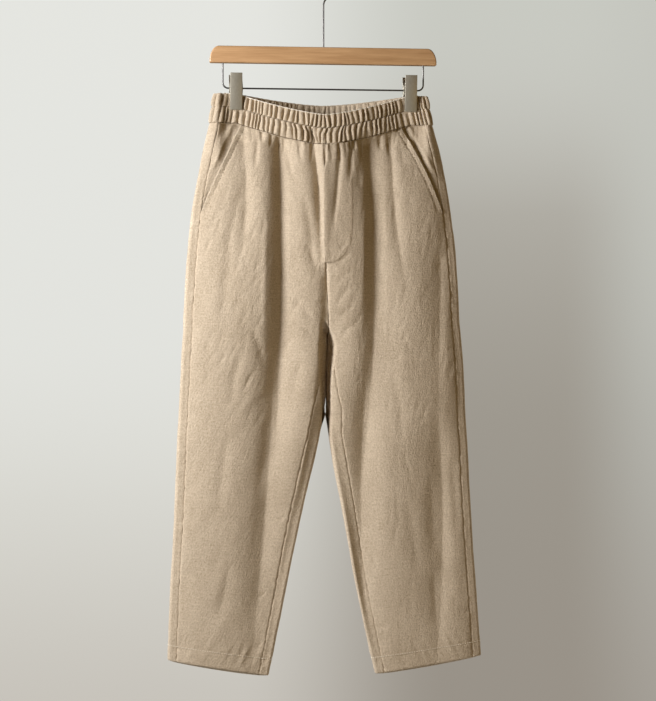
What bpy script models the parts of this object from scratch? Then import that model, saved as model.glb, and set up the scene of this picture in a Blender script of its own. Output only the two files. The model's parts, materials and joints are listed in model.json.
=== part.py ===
"""Tapered pull-on trousers with a gathered elastic waist, hanging from a wooden clip hanger.

The scene is in metres, with +Z up. The origin is the inside top of the hanger's hook, where it
hangs on a rod. The front of the trousers faces -Y. Left and right are as seen from the front,
so the left leg is at -X. Sizes below are in millimetres unless they say otherwise.
"""

import math

import bmesh
import bpy
import numpy as np

MM = 0.001
NAME = "tapered_trousers_on_clip_hanger"
LEFT, RIGHT = -1, 1
FRONT, BACK = 1, -1

# ---- the cloth: walls and seams ----
SEAM_GAP = 0.3  # between two sewn pieces
PANEL_WALL = 1.2
HEM_WALL = 2.4  # the turned-up hem is double
HEM_DEEP = 24
BAND_INSIDE = 1.2  # how far the waistband's plain inside lies behind the panels' outer face

# ---- heights, measured down from the origin ----
BAND_TOP = -196  # at the side seams, as is the next one
BAND_FOOT = -243
SLASH_END = -388  # where the pocket's slanted opening meets the side seam
CROTCH = -575  # where both front seams and both inside leg seams meet
INSEAM_TURNS = -628  # the inside leg seam comes round onto the front of the leg here
HEM = -1095  # at the outer side of each leg

# ---- how the level lines of the cut hang ----
FRONT_SAG, BACK_SAG = 35, 14  # the waist sinks this far between the clips
SAG_HALF_SPAN = 140
SAG_SHARPNESS = 1.4
SAG_FADES_OVER = 150  # below the waistband
HEM_SLANT = 27  # the hem falls this far towards the inside leg
BACK_HEM_DROP = 7
SLANT_STARTS = -700

# ---- the seams that lie on the front of the legs ----
SIDE_SEAM_IN = 14  # from the outer edge
SLASH_WIDTH = 38  # from the slash to the side seam, at the waistband
INSEAM_IN = (
    # height, from the inner edge
    (-628, 2),
    (-665, 9),
    (-705, 18),
    (-770, 21),
    (-860, 20),
    (-990, 17),
    (-1130, 15),
)

# ---- level sections of the body and legs ----
# Each row is a level cut. centre is how far the middle of the cut stands to the right. outer is
# the half width to each side seam's fold, from the middle. inner is where the leg's inner wall
# would be, at the front and at the back: below zero it runs past the middle and is cut off there,
# which makes the rise seams, and above zero the legs stand apart. depth is from the middle
# outwards, and corner is 1 for an ellipse and less for a squarer inner leg.
SECTION_COLUMNS = (
    "height", "centre", "outer_left", "outer_right",
    "inner_front", "inner_back", "depth_front", "depth_back", "corner",
)
SECTIONS = (
    (-190, 0, 173, 165, -168, -168, 25, 25, 1.0),
    (-240, 0, 182, 175, -174, -174, 28, 28, 1.0),
    (-300, 0, 195, 191, -172, -176, 34, 36, 1.0),
    (-380, 0, 210, 205, -140, -165, 37, 42, 1.0),
    (-460, 1, 219, 213, -72, -140, 37, 44, 0.9),
    (-520, 4, 226, 214, -20, -90, 36, 44, 0.7),
    (-555, 6, 230, 213, 0, -60, 35, 43, 0.6),
    (-575, 7, 231, 214, 6.5, -45, 34, 42, 0.6),
    (-620, 6, 233, 219, 7.5, -32, 32, 39, 0.6),
    (-660, 5, 234, 222, 6, -22, 31, 36, 0.6),
    (-703, 4, 235, 225, 6, -6, 30, 33, 0.65),
    (-735, 1, 234, 230, 7, 6, 29, 30, 0.7),
    (-765, 0, 234, 233, 12, 11.5, 28, 29, 0.75),
    (-860, -2, 236, 240, 32, 32, 25, 26, 0.85),
    (-990, -4, 241, 251, 57.5, 57.5, 20, 21, 0.9),
    (-1130, -3, 247, 261, 87, 87, 15, 16, 0.9),
)

# ---- the largest folds ----
# Each is a trough along the face. x is its deepest line, at its top, halfway down and at its
# foot. left and right are how wide its two walls are, so the narrower wall is the steeper one.
FOLD_COLUMNS = ("face", "top", "foot", "x_top", "x_halfway", "x_foot", "left", "right", "depth")
FOLDS = (
    (FRONT, -268, -830, -70, -72, -90, 15, 26, 12.0),
    (FRONT, -640, -1090, -77, -93, -122, 15, 24, 2.5),
    (FRONT, -264, -830, 79, 80, 58, 15, 26, 12.0),
    (FRONT, -262, -470, -112, -120, -128, 16, 15, 3.5),
    (FRONT, -262, -600, 124, 131, 139, 14, 18, 4.0),
    (FRONT, -290, -520, -33, -28, -22, 9, 12, 3.5),
    (FRONT, -276, -450, 41, 37, 33, 9, 12, 2.5),
    (FRONT, -560, -1000, -176, -186, -196, 20, 22, 3.0),
    (FRONT, -620, -1040, 160, 175, 190, 20, 24, 3.0),
    (BACK, -258, -900, -88, -104, -120, 24, 15, 10.0),
    (BACK, -258, -840, 82, 96, 110, 15, 24, 11.0),
    (BACK, -255, -620, -34, -41, -48, 14, 12, 5.0),
    (BACK, -255, -560, 30, 41, 52, 12, 15, 5.0),
    (BACK, -640, -1040, -165, -178, -190, 24, 20, 3.5),
    (BACK, -700, -1050, 150, 168, 185, 20, 24, 3.5),
)
FOLD_GROWS = 0.07  # a fold reaches its depth in this share of its length,
FOLD_FADES = 0.45  # and starts to fade at this one
FOLDS_TURN = 0.6  # the sine of the turn round the outer edge where they are whole
FOLDS_START, FOLDS_WHOLE = 2, 16  # from the middle: none nearer, and whole depth further out

# ---- the waistband's gathers, in two elastic channels ----
FRONT_GATHERS, BACK_GATHERS = 43, 45  # in each channel
PLACES_A_GATHER = 4  # flank, crest, flank, trough
BAND_RISE = (
    # share of the height, how proud the wall stands, height of the gathers, crest's place
    (0.00, 0.3, 0.25, 0),
    (0.28, 1.5, 1.2, 0),
    (0.56, 0.6, 0.35, 0),
    (0.78, 1.5, 1.2, 1),
    (1.00, 0.8, 0.8, 1),
)
FLAT_IN_JAWS = 0.8  # how proud the band stands where the clips press it flat
JAWS_REACH = 19.2
PRESSED_LOW = 0.75  # how far the lower channel is pressed flat, against 1 in the upper one
CREST_SHIFTS = ((0.45, 0.37, 1), (0.35, 0.83, 2))  # by how many places, and how often
CREST_HEIGHTS = (0.3, 0.29, 1.7)

# ---- the mock fly ----
FLY_WIDTH = 44
FLY_LAP = 3.5  # past the middle, onto the left front
FLY_FOOT = -466
FLY_LAP_LIFT = 0.9
FLY_WALL = 1.2
FACING_END = 0.02  # the least turn between slash and side seam, where the facing runs out

# ---- the hanger ----
BAR_HALF_LENGTH = 182
BAR_TOP, BAR_FOOT = -120, -147
BAR_THICK = 13
BAR_SHOULDER = (15, 24)  # half axes of the rounded upper corners
BAR_EDGE = 2
HOOK_WIRE, RAIL_WIRE = 1.3, 1.3  # radii
HOOK_RADIUS = 21
HOOK_SWEEP = (25.6, 262)  # degrees round from the lowest point of the hook's bow
HOOK_BEND = 16
HOLE_EASE = 0.3
HOLE_DEEP = 15
RAIL_HALF_LENGTH = 161
RAIL_HEIGHT = -187
RAIL_BEND = 9
CLIP_AT = 140  # from the middle
CLIP_TOP, CLIP_FOOT = -164, -221.5
CLIP_FRONT_HALF, CLIP_BACK_HALF = 9.5, 10.8
CLIP_SHEET = 1.0
CLIP_SPLAY = 15  # the outer face, at the top and at the jaw
CLIP_JAW = 5.6
JAW_FACE = 2.6
JAW_HIGH = 7.5
SPRING_INNER, SPRING_OUTER, SPRING_LONG = 1.7, 3.4, 13
PINCH_HALF = 1.5  # the panels' outer face, where the clips hold it
PINCH_REACH = 24
GRIP_FADES = (-226, -335)

# ---- how finely the cloth is cut into facets ----
FRONT_COLUMNS = 17
FLY_COLUMNS = 4
BACK_COLUMNS = 19
FORK_COLUMNS = 4
APART = 100  # the fork's columns are numbered from here where it stands apart from the back
FACING_COLUMNS = 3
LEVELS = (
    BAND_FOOT, -260, -285, -318, -352, -375, SLASH_END, -420, -445, FLY_FOOT, -505, -535, -555,
    CROTCH, -582, -605, INSEAM_TURNS, -660,
)
LEG_LEVELS = (-735, -770, -830, -900, -980, -1040, HEM + HEM_DEEP + 1, HEM + HEM_DEEP, HEM)


# ---- curves worked out from the tables ----

def smooth(share):
    """An even ramp from 0 to 1."""
    share = np.clip(share, 0.0, 1.0)
    return share * share * (3 - 2 * share)


def table(rows):
    """A function of height that runs smoothly through a table's rows, with no overshoot."""
    data = np.array(sorted(rows), float)
    heights, values = data[:, 0], data[:, 1:]
    steps = np.diff(heights)[:, None]
    rises = np.diff(values, axis=0) / steps
    slopes = np.vstack([rises[:1], rises])
    both = rises[:-1] * rises[1:]
    total = rises[:-1] + rises[1:]
    agree = both > 0
    slopes[1:-1] = np.where(agree, 2 * both / np.where(agree, total, 1), 0)

    def at(height):
        height = np.clip(height, heights[0], heights[-1])
        k = np.clip(np.searchsorted(heights, height) - 1, 0, len(heights) - 2)
        step = (heights[k + 1] - heights[k])[..., None]
        t = (height - heights[k])[..., None] / step
        start, end = values[k], values[k + 1]
        out, back = slopes[k] * step, slopes[k + 1] * step
        curve = start * (1 + 2 * t) * (1 - t) ** 2 + out * t * (1 - t) ** 2
        return curve + end * t * t * (3 - 2 * t) - back * t * t * (1 - t)

    return at


section_at = table(SECTIONS)
inseam_at = table(INSEAM_IN)


def cut(height):
    """The section's named values at a height."""
    values = section_at(np.asarray(height, float))
    return {name: values[..., i] for i, name in enumerate(SECTION_COLUMNS[1:])}


def folds_at(x, height, face):
    """How far the folds of one face sink it."""
    sunk = np.zeros(np.broadcast(x, height).shape)
    for row in FOLDS:
        fold = dict(zip(FOLD_COLUMNS, row))
        share = (fold["top"] - height) / (fold["top"] - fold["foot"])
        line = fold["x_top"] * (1 - share) * (1 - 2 * share)
        line = line + fold["x_halfway"] * 4 * share * (1 - share)
        line = line + fold["x_foot"] * share * (2 * share - 1)
        wide = np.where(x < line, fold["left"], fold["right"])
        along = smooth(share / FOLD_GROWS) * (1 - smooth((share - FOLD_FADES) / (1 - FOLD_FADES)))
        trough = fold["depth"] * along * np.exp(-((x - line) / wide) ** 2)
        sunk = sunk + np.where(face == fold["face"], trough, 0)
    return sunk


def signed_power(value, power):
    return np.sign(value) * np.abs(value) ** power


def from_middle(side, turn, height):
    """(distance out from the middle, y, section) round a half of the body or a leg.

    turn is an angle round the section: 0 at the inner leg, a quarter at the front, a half at
    the outer fold and three quarters at the back.
    """
    c = cut(height)
    across, swell = np.cos(turn), np.sin(turn)
    corner = np.where(across > 0, c["corner"], 1.0)
    inner = c["inner_front"] + (c["inner_back"] - c["inner_front"]) * smooth((1 - swell) / 2)
    mean = (c["outer_left"] + c["outer_right"]) / 2
    out = inner + (mean - inner) * (1 - signed_power(across, corner)) / 2
    outer = c["outer_left"] if side == LEFT else c["outer_right"]
    out = out * (1 + (outer / mean - 1) * np.clip(out / mean, 0, 1))
    depth = np.where(swell > 0, c["depth_front"], c["depth_back"])
    return out, -depth * signed_power(swell, corner), c


def cloth(side, turn, height):
    """Points of the panels' outer face, an array of (x, y, z)."""
    turn, height = np.broadcast_arrays(np.asarray(turn, float), np.asarray(height, float))
    out, y, c = from_middle(side, turn, height)
    x = c["centre"] + side * out
    grip = 1 - smooth((GRIP_FADES[0] - height) / (GRIP_FADES[0] - GRIP_FADES[1]))
    held = grip * np.exp(-((np.abs(x) - CLIP_AT) / PINCH_REACH) ** 6)
    y = y * (1 - held) + np.sign(y) * PINCH_HALF * held
    face = np.where(np.sin(turn) > 0, FRONT, BACK)
    room = smooth((out - FOLDS_START) / (FOLDS_WHOLE - FOLDS_START))
    room = room * smooth(np.abs(np.sin(turn)) / FOLDS_TURN)
    y = y + face * room * folds_at(x, height, face)
    return np.stack([x, y, height], axis=-1)


def outward(side, turn, height):
    """Level unit vectors, square to the panels' outer face."""
    small = 1e-4
    round_it = cloth(side, turn + small, height) - cloth(side, turn - small, height)
    normal = np.cross(round_it, (0, 0, side))
    return normal / np.linalg.norm(normal, axis=-1, keepdims=True)


def hang(side, turn, level):
    """The height of a level line of the cut, once the garment hangs from its clips."""
    turn, level = np.broadcast_arrays(np.asarray(turn, float), np.asarray(level, float))
    deepest = np.where(np.sin(turn) > 0, FRONT_SAG, BACK_SAG)
    left = np.clip(1 - (BAND_FOOT - level) / SAG_FADES_OVER, 0, 1) ** 1.5
    low = np.clip((SLANT_STARTS - level) / (SLANT_STARTS - HEM), 0, 1)
    behind = np.clip(-np.sin(turn), 0, 1)
    height = level
    for _ in range(3):
        out, _, c = from_middle(side, turn, height)
        x = np.abs(c["centre"] + side * out)
        sag = deepest * (1 - np.clip(x / SAG_HALF_SPAN, 0, 1) ** SAG_SHARPNESS)
        outer = c["outer_left"] if side == LEFT else c["outer_right"]
        inward = np.clip((outer - out) / (outer - c["inner_front"]), 0, 1)
        height = level - sag * left - low * (HEM_SLANT * inward + BACK_HEM_DROP * behind)
    return height


def first_turn(side, level, start, end, gap):
    """The first turn from start to end where gap(out, section) changes sign."""
    for steps in (360, 60, 60):
        turns = np.linspace(start, end, steps)
        out, _, c = from_middle(side, turns, hang(side, turns, level))
        found = np.nonzero(np.diff(np.sign(gap(out, c))))[0]
        if not len(found):
            return None
        start, end = turns[found[0]], turns[found[0] + 1]
    return (start + end) / 2


def rise_turn(side, level, face):
    """Where a level line reaches the middle, on the front or the back rise seam."""
    quarter = math.pi / 2
    ends = (quarter, -quarter) if face == FRONT else (3 * quarter, 5 * quarter)
    return first_turn(side, level, *ends, lambda out, c: out - SEAM_GAP / 2)


def side_turn(side, level):
    outer = "outer_left" if side == LEFT else "outer_right"
    return first_turn(
        side, level, math.pi / 2, math.pi, lambda out, c: out - (c[outer] - SIDE_SEAM_IN)
    )


def inseam_turn(side, level):
    """The inside leg seam: from the crotch, round the inner edge, and down the front."""
    if level <= INSEAM_TURNS:
        return first_turn(
            side, level, math.pi / 2, 0,
            lambda out, c: out - c["inner_front"] - inseam_at(np.asarray(float(level)))[0],
        )
    share = (CROTCH - level) / (CROTCH - INSEAM_TURNS)
    start, end = rise_turn(side, CROTCH, FRONT), inseam_turn(side, INSEAM_TURNS)
    return start + (end - start) * share


def inner_turn(side, level):
    """Where a front panel starts: at the rise seam, and below the crotch at the inside leg."""
    return rise_turn(side, level, FRONT) if level >= CROTCH else inseam_turn(side, level)


def find_saddle():
    """The level where the two legs part behind the crotch, and its turn."""
    turns = np.linspace(-math.pi / 2, math.pi / 2, 721)
    high, low = INSEAM_TURNS, -760.0
    for _ in range(40):
        middle = (high + low) / 2
        out = from_middle(LEFT, turns, np.full(turns.shape, middle))[0]
        if out.min() < SEAM_GAP / 2:
            high = middle
        else:
            low = middle
    out = from_middle(LEFT, turns, np.full(turns.shape, low))[0]
    return low, turns[out.argmin()] + 2 * math.pi


SADDLE, SADDLE_TURN = find_saddle()
ROWS = LEVELS + (SADDLE + 12, SADDLE + 3, SADDLE) + LEG_LEVELS


def line_run(side, level, start, end):
    """(turns, how far along the level line each one is)."""
    turns = np.linspace(start, end, 400)
    points = cloth(side, turns, hang(side, turns, level))
    steps = np.linalg.norm(np.diff(points, axis=0), axis=1)
    return turns, np.concatenate([[0], np.cumsum(steps)])


def spread(side, level, start, end, shares, trim):
    """Turns at shares of the way along a level line, kept half a seam gap from trimmed ends."""
    turns, run = line_run(side, level, start, end)
    low, high = trim[0] * SEAM_GAP / 2, run[-1] - trim[1] * SEAM_GAP / 2
    return np.interp(low + (high - low) * np.asarray(shares), run, turns)


def even(count):
    return np.linspace(0, 1, count + 1)


# ---- walls of cloth ----

def put(name, material, mesh):
    piece = bpy.data.objects.new(name, mesh)
    mesh.materials.append(material)
    bpy.data.collections[NAME].objects.link(piece)
    return piece


def wall(name, material, outer, inner, cells):
    """A closed wall between two faces that share their cells; outer and inner map keys to points."""
    mesh = bpy.data.meshes.new(name)
    shape = bmesh.new()
    face_out = {key: shape.verts.new(outer[key] * MM) for key in outer}
    face_in = {key: shape.verts.new(inner[key] * MM) for key in outer}
    corners = set()
    for cell in cells:
        for one in (cell[:3], cell[:1] + cell[2:])[:len(cell) - 2]:
            shape.faces.new([face_out[key] for key in one])
            shape.faces.new([face_in[key] for key in reversed(one)])
            corners.update(zip(one, one[1:] + one[:1]))
    for a, b in sorted(corners):
        if (b, a) not in corners:
            shape.faces.new([face_out[b], face_out[a], face_in[a]])
            shape.faces.new([face_out[b], face_in[a], face_in[b]])
    bmesh.ops.recalc_face_normals(shape, faces=shape.faces)
    shape.to_mesh(mesh)
    shape.free()
    for polygon in mesh.polygons:
        polygon.use_smooth = True
    mesh.set_sharp_from_angle(angle=math.radians(40))
    return put(name, material, mesh)


def grid_cells(rows, columns):
    return [
        ((r, k), (r, k + 1), (r + 1, k + 1), (r + 1, k))
        for r in range(rows)
        for k in range(columns)
    ]


def row_ends(row, level):
    """The level, drawn in by half a seam gap at the waistband."""
    return level - SEAM_GAP / 2 if row == 0 else level


def place(side, turns, level, offset):
    """Points of a level line, moved out by offset along the cloth's normal."""
    heights = hang(side, turns, level)
    return cloth(side, turns, heights) + outward(side, turns, heights) * offset


def wall_at(level):
    return HEM_WALL if level <= HEM + HEM_DEEP else PANEL_WALL


def slash_width(level):
    return SLASH_WIDTH * (level - SLASH_END) / (BAND_FOOT - SLASH_END)


def front_edge(side, level):
    """Where a front panel ends: on the pocket's slash, and below it at the side seam."""
    seam = side_turn(side, level)
    if level <= SLASH_END:
        return seam, 1
    turns, run = line_run(side, level, seam, math.pi / 2)
    return float(np.interp(slash_width(level), run, turns)), 0


def front_turns(side, level):
    """A front panel's columns. The first few keep the fly's width, down to its foot."""
    start = inner_turn(side, level)
    end, trim = front_edge(side, level)
    length = line_run(side, level, start, end)[1][-1]
    fly = FLY_WIDTH / length * even(FLY_COLUMNS)
    rest = fly[-1] + (1 - fly[-1]) * even(FRONT_COLUMNS - FLY_COLUMNS)[1:]
    evened = smooth((FLY_FOOT - level) / (FLY_FOOT - CROTCH))
    shares = np.concatenate([fly, rest]) * (1 - evened) + even(FRONT_COLUMNS) * evened
    return spread(side, level, start, end, shares, (1, trim))


def front_panel(name, side, material):
    """Half of the front, from the rise seam and inside leg to the slash and the side seam."""
    outer, inner = {}, {}
    for r, level in enumerate(ROWS):
        turns = front_turns(side, level)
        level = row_ends(r, level)
        for face, offset in ((outer, 0), (inner, -wall_at(level))):
            for k, point in enumerate(place(side, turns, level, offset)):
                face[r, k] = point
    return wall(name, material, outer, inner, grid_cells(len(ROWS) - 1, FRONT_COLUMNS))


def back_turns(side, level):
    """(turns of the back itself, turns of its fork); above the saddle they stand apart."""
    start = side_turn(side, level)
    if level <= SADDLE:
        main = spread(side, level, start, SADDLE_TURN, even(BACK_COLUMNS), (1, 0))
        end = inseam_turn(side, level) + 2 * math.pi
        return main, spread(side, level, SADDLE_TURN, end, even(FORK_COLUMNS), (0, 1))
    end = rise_turn(side, level, BACK)
    main = spread(side, level, start, end, even(BACK_COLUMNS), (1, 0))
    if level >= CROTCH:
        return main, None
    start, end = rise_turn(side, level, FRONT), inseam_turn(side, level)
    return main, spread(side, level, start, end, even(FORK_COLUMNS), (0, 1))


def back_panel(name, side, material):
    """Half of the back. It wraps round both edges of the leg, and its fork reaches the crotch."""
    outer, inner, cells = {}, {}, []
    for r, level in enumerate(ROWS):
        main, fork = back_turns(side, level)
        joined = level <= SADDLE
        level = row_ends(r, level)
        for face, offset in ((outer, 0), (inner, -wall_at(level))):
            for k, point in enumerate(place(side, main, level, offset)):
                face[r, k] = point
            if fork is None:
                continue
            for k, point in enumerate(place(side, fork, level, offset)):
                if joined and k == 0:
                    continue
                face[r, (BACK_COLUMNS if joined else APART) + k] = point
    fork_rows = [r for r, level in enumerate(ROWS) if level < CROTCH]
    for r in range(len(ROWS) - 1):
        for k in range(BACK_COLUMNS):
            cells.append(((r, k), (r, k + 1), (r + 1, k + 1), (r + 1, k)))
    for r in fork_rows[:-1]:
        upper = fork_keys(r)
        lower = fork_keys(r + 1)
        for k in range(FORK_COLUMNS):
            cells.append((upper[k], upper[k + 1], lower[k + 1], lower[k]))
    return wall(name, material, outer, inner, cells)


def fork_keys(row):
    first = BACK_COLUMNS if ROWS[row] <= SADDLE else APART
    return [(row, first + k) for k in range(FORK_COLUMNS + 1)]


def pocket_facing(name, side, material):
    """The strip behind the slash. It runs under the edges of the front and of the back."""
    outer, inner = {}, {}
    rows = [r for r, level in enumerate(ROWS) if level >= SLASH_END]
    for r in rows:
        level = ROWS[r]
        front = front_turns(side, level)
        seam = side_turn(side, level)
        slash = min(front[-1], seam - FACING_END)
        between = slash + (seam - slash) * even(FACING_COLUMNS)
        turns = np.concatenate([front[-2:-1], between, back_turns(side, level)[0][1:2]])
        level = row_ends(r, level)
        for face, depth in ((outer, 0), (inner, PANEL_WALL)):
            offset = -(PANEL_WALL + SEAM_GAP + depth)
            for k, point in enumerate(place(side, turns, level, offset)):
                face[r, k] = point
    return wall(name, material, outer, inner, grid_cells(len(rows) - 1, FACING_COLUMNS + 2))


# ---- the waistband ----

def band_line(face, level, shares):
    """(sides, turns) at shares of the way round a band, from the left side seam to the right."""
    middle = math.pi / 2 if face == FRONT else 3 * math.pi / 2
    halves = []
    for side in (LEFT, RIGHT):
        seam = side_turn(side, level)
        to_middle = first_turn(
            side, level, middle - 0.3 * face, middle + 0.3 * face, lambda out, c: out
        )
        halves.append(line_run(side, level, seam, to_middle))
    (left, left_run), (right, right_run) = halves
    whole = left_run[-1] + right_run[-1]
    place_on = SEAM_GAP / 2 + (whole - SEAM_GAP) * shares
    on_left = place_on < left_run[-1]
    turns = np.where(
        on_left,
        np.interp(place_on, left_run, left),
        np.interp(whole - place_on, right_run, right),
    )
    return np.where(on_left, LEFT, RIGHT), turns


def band_points(face, level, shares, offsets):
    sides, turns = band_line(face, level, shares)
    points = np.empty((len(shares), 3))
    for side in (LEFT, RIGHT):
        mine = sides == side
        heights = hang(side, turns[mine], level)
        normals = outward(side, turns[mine], heights)
        points[mine] = cloth(side, turns[mine], heights) + normals * offsets[mine][:, None]
    return points


def waistband(name, face, gathers, material):
    """Two gathered channels, raised in the band's outer face over a plain inside."""
    places = gathers * PLACES_A_GATHER
    k = np.arange(places + 1)
    uneven = sum(most * np.sin(often * k + start * face) for most, often, start in CREST_SHIFTS)
    shares = np.clip((k + uneven * np.sin(math.pi * k / places)) / places, 0, 1)
    most, often, start = CREST_HEIGHTS
    tall = 1 + most * np.sin(often * k + start * face)
    outer, inner = {}, {}
    for r, (share, proud, high, shift) in enumerate(BAND_RISE):
        level = BAND_FOOT + SEAM_GAP / 2 + (BAND_TOP - BAND_FOOT) * share
        plain = band_points(face, level, shares, np.zeros(len(shares)))
        wave = np.sin((k + shift) * 2 * math.pi / PLACES_A_GATHER)
        flat = np.exp(-((np.abs(plain[:, 0]) - CLIP_AT) / JAWS_REACH) ** 6)
        flat = flat * (1 if share > 0.5 else PRESSED_LOW)
        offsets = (proud + high * tall * wave) * (1 - flat) + FLAT_IN_JAWS * flat
        for j, point in enumerate(band_points(face, level, shares, offsets)):
            outer[r, j] = point
    last = len(BAND_RISE) - 1
    for r in (0, last):
        level = BAND_FOOT + SEAM_GAP / 2 + (BAND_TOP - BAND_FOOT) * BAND_RISE[r][0]
        back = np.full(len(shares), -BAND_INSIDE)
        for j, point in enumerate(band_points(face, level, shares, back)):
            inner[r, j] = point
    return band_wall(name, material, outer, inner, last, places)


def band_wall(name, material, outer, inner, last, places):
    """A wall whose outer face has more rows than its inside."""
    mesh = bpy.data.meshes.new(name)
    shape = bmesh.new()
    face_out = {key: shape.verts.new(point * MM) for key, point in outer.items()}
    face_in = {key: shape.verts.new(point * MM) for key, point in inner.items()}
    for r in range(last):
        for j in range(places):
            four = [face_out[key] for key in ((r, j), (r, j + 1), (r + 1, j + 1), (r + 1, j))]
            shape.faces.new(four)
    for j in range(places):
        shape.faces.new([face_in[key] for key in ((last, j), (last, j + 1), (0, j + 1), (0, j))])
        for r in (0, last):
            rim = [face_out[r, j], face_out[r, j + 1], face_in[r, j + 1], face_in[r, j]]
            shape.faces.new(rim)
    for j in (0, places):
        shape.faces.new([face_out[r, j] for r in range(last + 1)] + [face_in[last, j], face_in[0, j]])
    bmesh.ops.triangulate(shape, faces=shape.faces)
    bmesh.ops.recalc_face_normals(shape, faces=shape.faces)
    shape.to_mesh(mesh)
    shape.free()
    return put(name, material, mesh)


# ---- the mock fly ----

def fly_flap(name, material):
    """A flap made from the right front's points, moved out, and lapped a little to the left.

    Its first column is the lap. Its lower outer corner is cut off in two steps.
    """
    outer, inner = {}, {}
    rows = [r for r, level in enumerate(ROWS) if level >= FLY_FOOT]
    for r in rows:
        level = row_ends(r, ROWS[r])
        turns = front_turns(RIGHT, ROWS[r])[:FLY_COLUMNS + 1]
        rise = rise_turn(LEFT, level, FRONT)
        turns_left, run = line_run(LEFT, level, rise, math.pi / 2)
        lap = np.interp([FLY_LAP], run, turns_left)
        for face, raised in ((outer, FLY_WALL), (inner, 0)):
            face[r, 0] = place(LEFT, lap, level, FLY_LAP_LIFT + raised)[0]
            for k, point in enumerate(place(RIGHT, turns, level, SEAM_GAP + raised)):
                face[r, k + 1] = point
    cells = grid_cells(len(rows) - 1, FLY_COLUMNS + 1)
    last, edge = rows[-1], FLY_COLUMNS + 1
    for r, reach in ((last - 1, edge), (last, edge - 1)):
        cells = [cell for cell in cells if (r, reach + 1) not in cell]
        short = ((r - 1, reach - 1), (r - 1, reach), (r, reach), (r, reach - 1))
        cells = [short[:2] + short[3:] if cell == short else cell for cell in cells]
    used = {key for cell in cells for key in cell}
    outer = {key: outer[key] for key in sorted(used)}
    return wall(name, material, outer, inner, cells)


# ---- the hanger ----

def mesh_piece(name, material, shape):
    bmesh.ops.recalc_face_normals(shape, faces=shape.faces)
    mesh = bpy.data.meshes.new(name)
    shape.to_mesh(mesh)
    shape.free()
    return put(name, material, mesh)


def prism(outline, low, high, axis):
    """A flat outline drawn out into a prism. axis is the one it runs along, 0 or 1."""
    shape = bmesh.new()
    corners = [(low, a, b) if axis == 0 else (a, low, b) for a, b in outline]
    start = shape.faces.new([shape.verts.new([v * MM for v in corner]) for corner in corners])
    drawn = bmesh.ops.extrude_face_region(shape, geom=[start], use_keep_orig=True)["geom"]
    moved = [part for part in drawn if isinstance(part, bmesh.types.BMVert)]
    along = [0.0, 0.0, 0.0]
    along[axis] = (high - low) * MM
    bmesh.ops.translate(shape, vec=along, verts=moved)
    return shape


def cutter(name, shape):
    bmesh.ops.recalc_face_normals(shape, faces=shape.faces)
    mesh = bpy.data.meshes.new(name)
    shape.to_mesh(mesh)
    shape.free()
    piece = bpy.data.objects.new(name, mesh)
    piece.hide_render = True
    piece.display_type = "WIRE"
    bpy.data.collections[NAME + "_cutters"].objects.link(piece)
    return piece


def rod_cutter(name, radius, low, high, x, along_x):
    """A round cutter, upright at x or lying along X on the rail."""
    shape = bmesh.new()
    bmesh.ops.create_cone(
        shape, cap_ends=True, segments=16, radius1=radius * MM, radius2=radius * MM,
        depth=(high - low) * MM,
    )
    piece = cutter(name, shape)
    if along_x:
        piece.rotation_euler = (0, math.pi / 2, 0)
        piece.location = (x * MM, 0, RAIL_HEIGHT * MM)
    else:
        piece.location = (x * MM, 0, (low + high) / 2 * MM)
    return piece


def take_away(piece, tool):
    away = piece.modifiers.new(tool.name, "BOOLEAN")
    away.operation = "DIFFERENCE"
    away.solver = "EXACT"
    away.object = tool


def hanger_bar(name, material):
    """The beech bar: flat below, with rounded shoulders, eased edges and three blind holes."""
    wide, high = BAR_SHOULDER
    angles = np.radians(np.linspace(0, 90, 7))
    shoulder = [
        (BAR_HALF_LENGTH - wide + wide * math.cos(a), BAR_TOP - high + high * math.sin(a))
        for a in angles
    ]
    outline = [(BAR_HALF_LENGTH, BAR_FOOT)] + shoulder
    outline += [(-x, z) for x, z in reversed(outline)]
    bar = mesh_piece(name, material, prism(outline, -BAR_THICK / 2, BAR_THICK / 2, 1))
    edge = bar.modifiers.new("eased edges", "BEVEL")
    edge.width = BAR_EDGE * MM
    edge.segments = 2
    edge.limit_method = "ANGLE"
    edge.angle_limit = math.radians(50)
    hole = HOOK_WIRE + HOLE_EASE
    take_away(bar, rod_cutter("hook_hole", hole, BAR_TOP - HOLE_DEEP, BAR_TOP + 1, 0, False))
    hole = RAIL_WIRE + HOLE_EASE
    for side, word in ((LEFT, "left"), (RIGHT, "right")):
        tool = rod_cutter(
            "rail_hole_" + word, hole, BAR_FOOT - 1, BAR_FOOT + HOLE_DEEP,
            side * RAIL_HALF_LENGTH, False,
        )
        take_away(bar, tool)
    return bar


def wire(name, material, points, radius):
    """A round wire with flat ends, along points given as (x, z)."""
    curve = bpy.data.curves.new(name, "CURVE")
    curve.dimensions = "3D"
    curve.bevel_depth = radius * MM
    curve.bevel_resolution = 2
    curve.use_fill_caps = True
    spline = curve.splines.new("POLY")
    spline.points.add(len(points) - 1)
    for point, (x, z) in zip(spline.points, points):
        point.co = (x * MM, 0, z * MM, 1)
    piece = bpy.data.objects.new(name, curve)
    curve.materials.append(material)
    bpy.data.collections[NAME].objects.link(piece)
    return piece


def arc(x, z, radius, start, end, steps):
    """Points on a circle, by angles in degrees from its right-hand side."""
    turns = np.radians(np.linspace(start, end, steps + 1))
    return [(x + radius * math.cos(a), z + radius * math.sin(a)) for a in turns]


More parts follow.
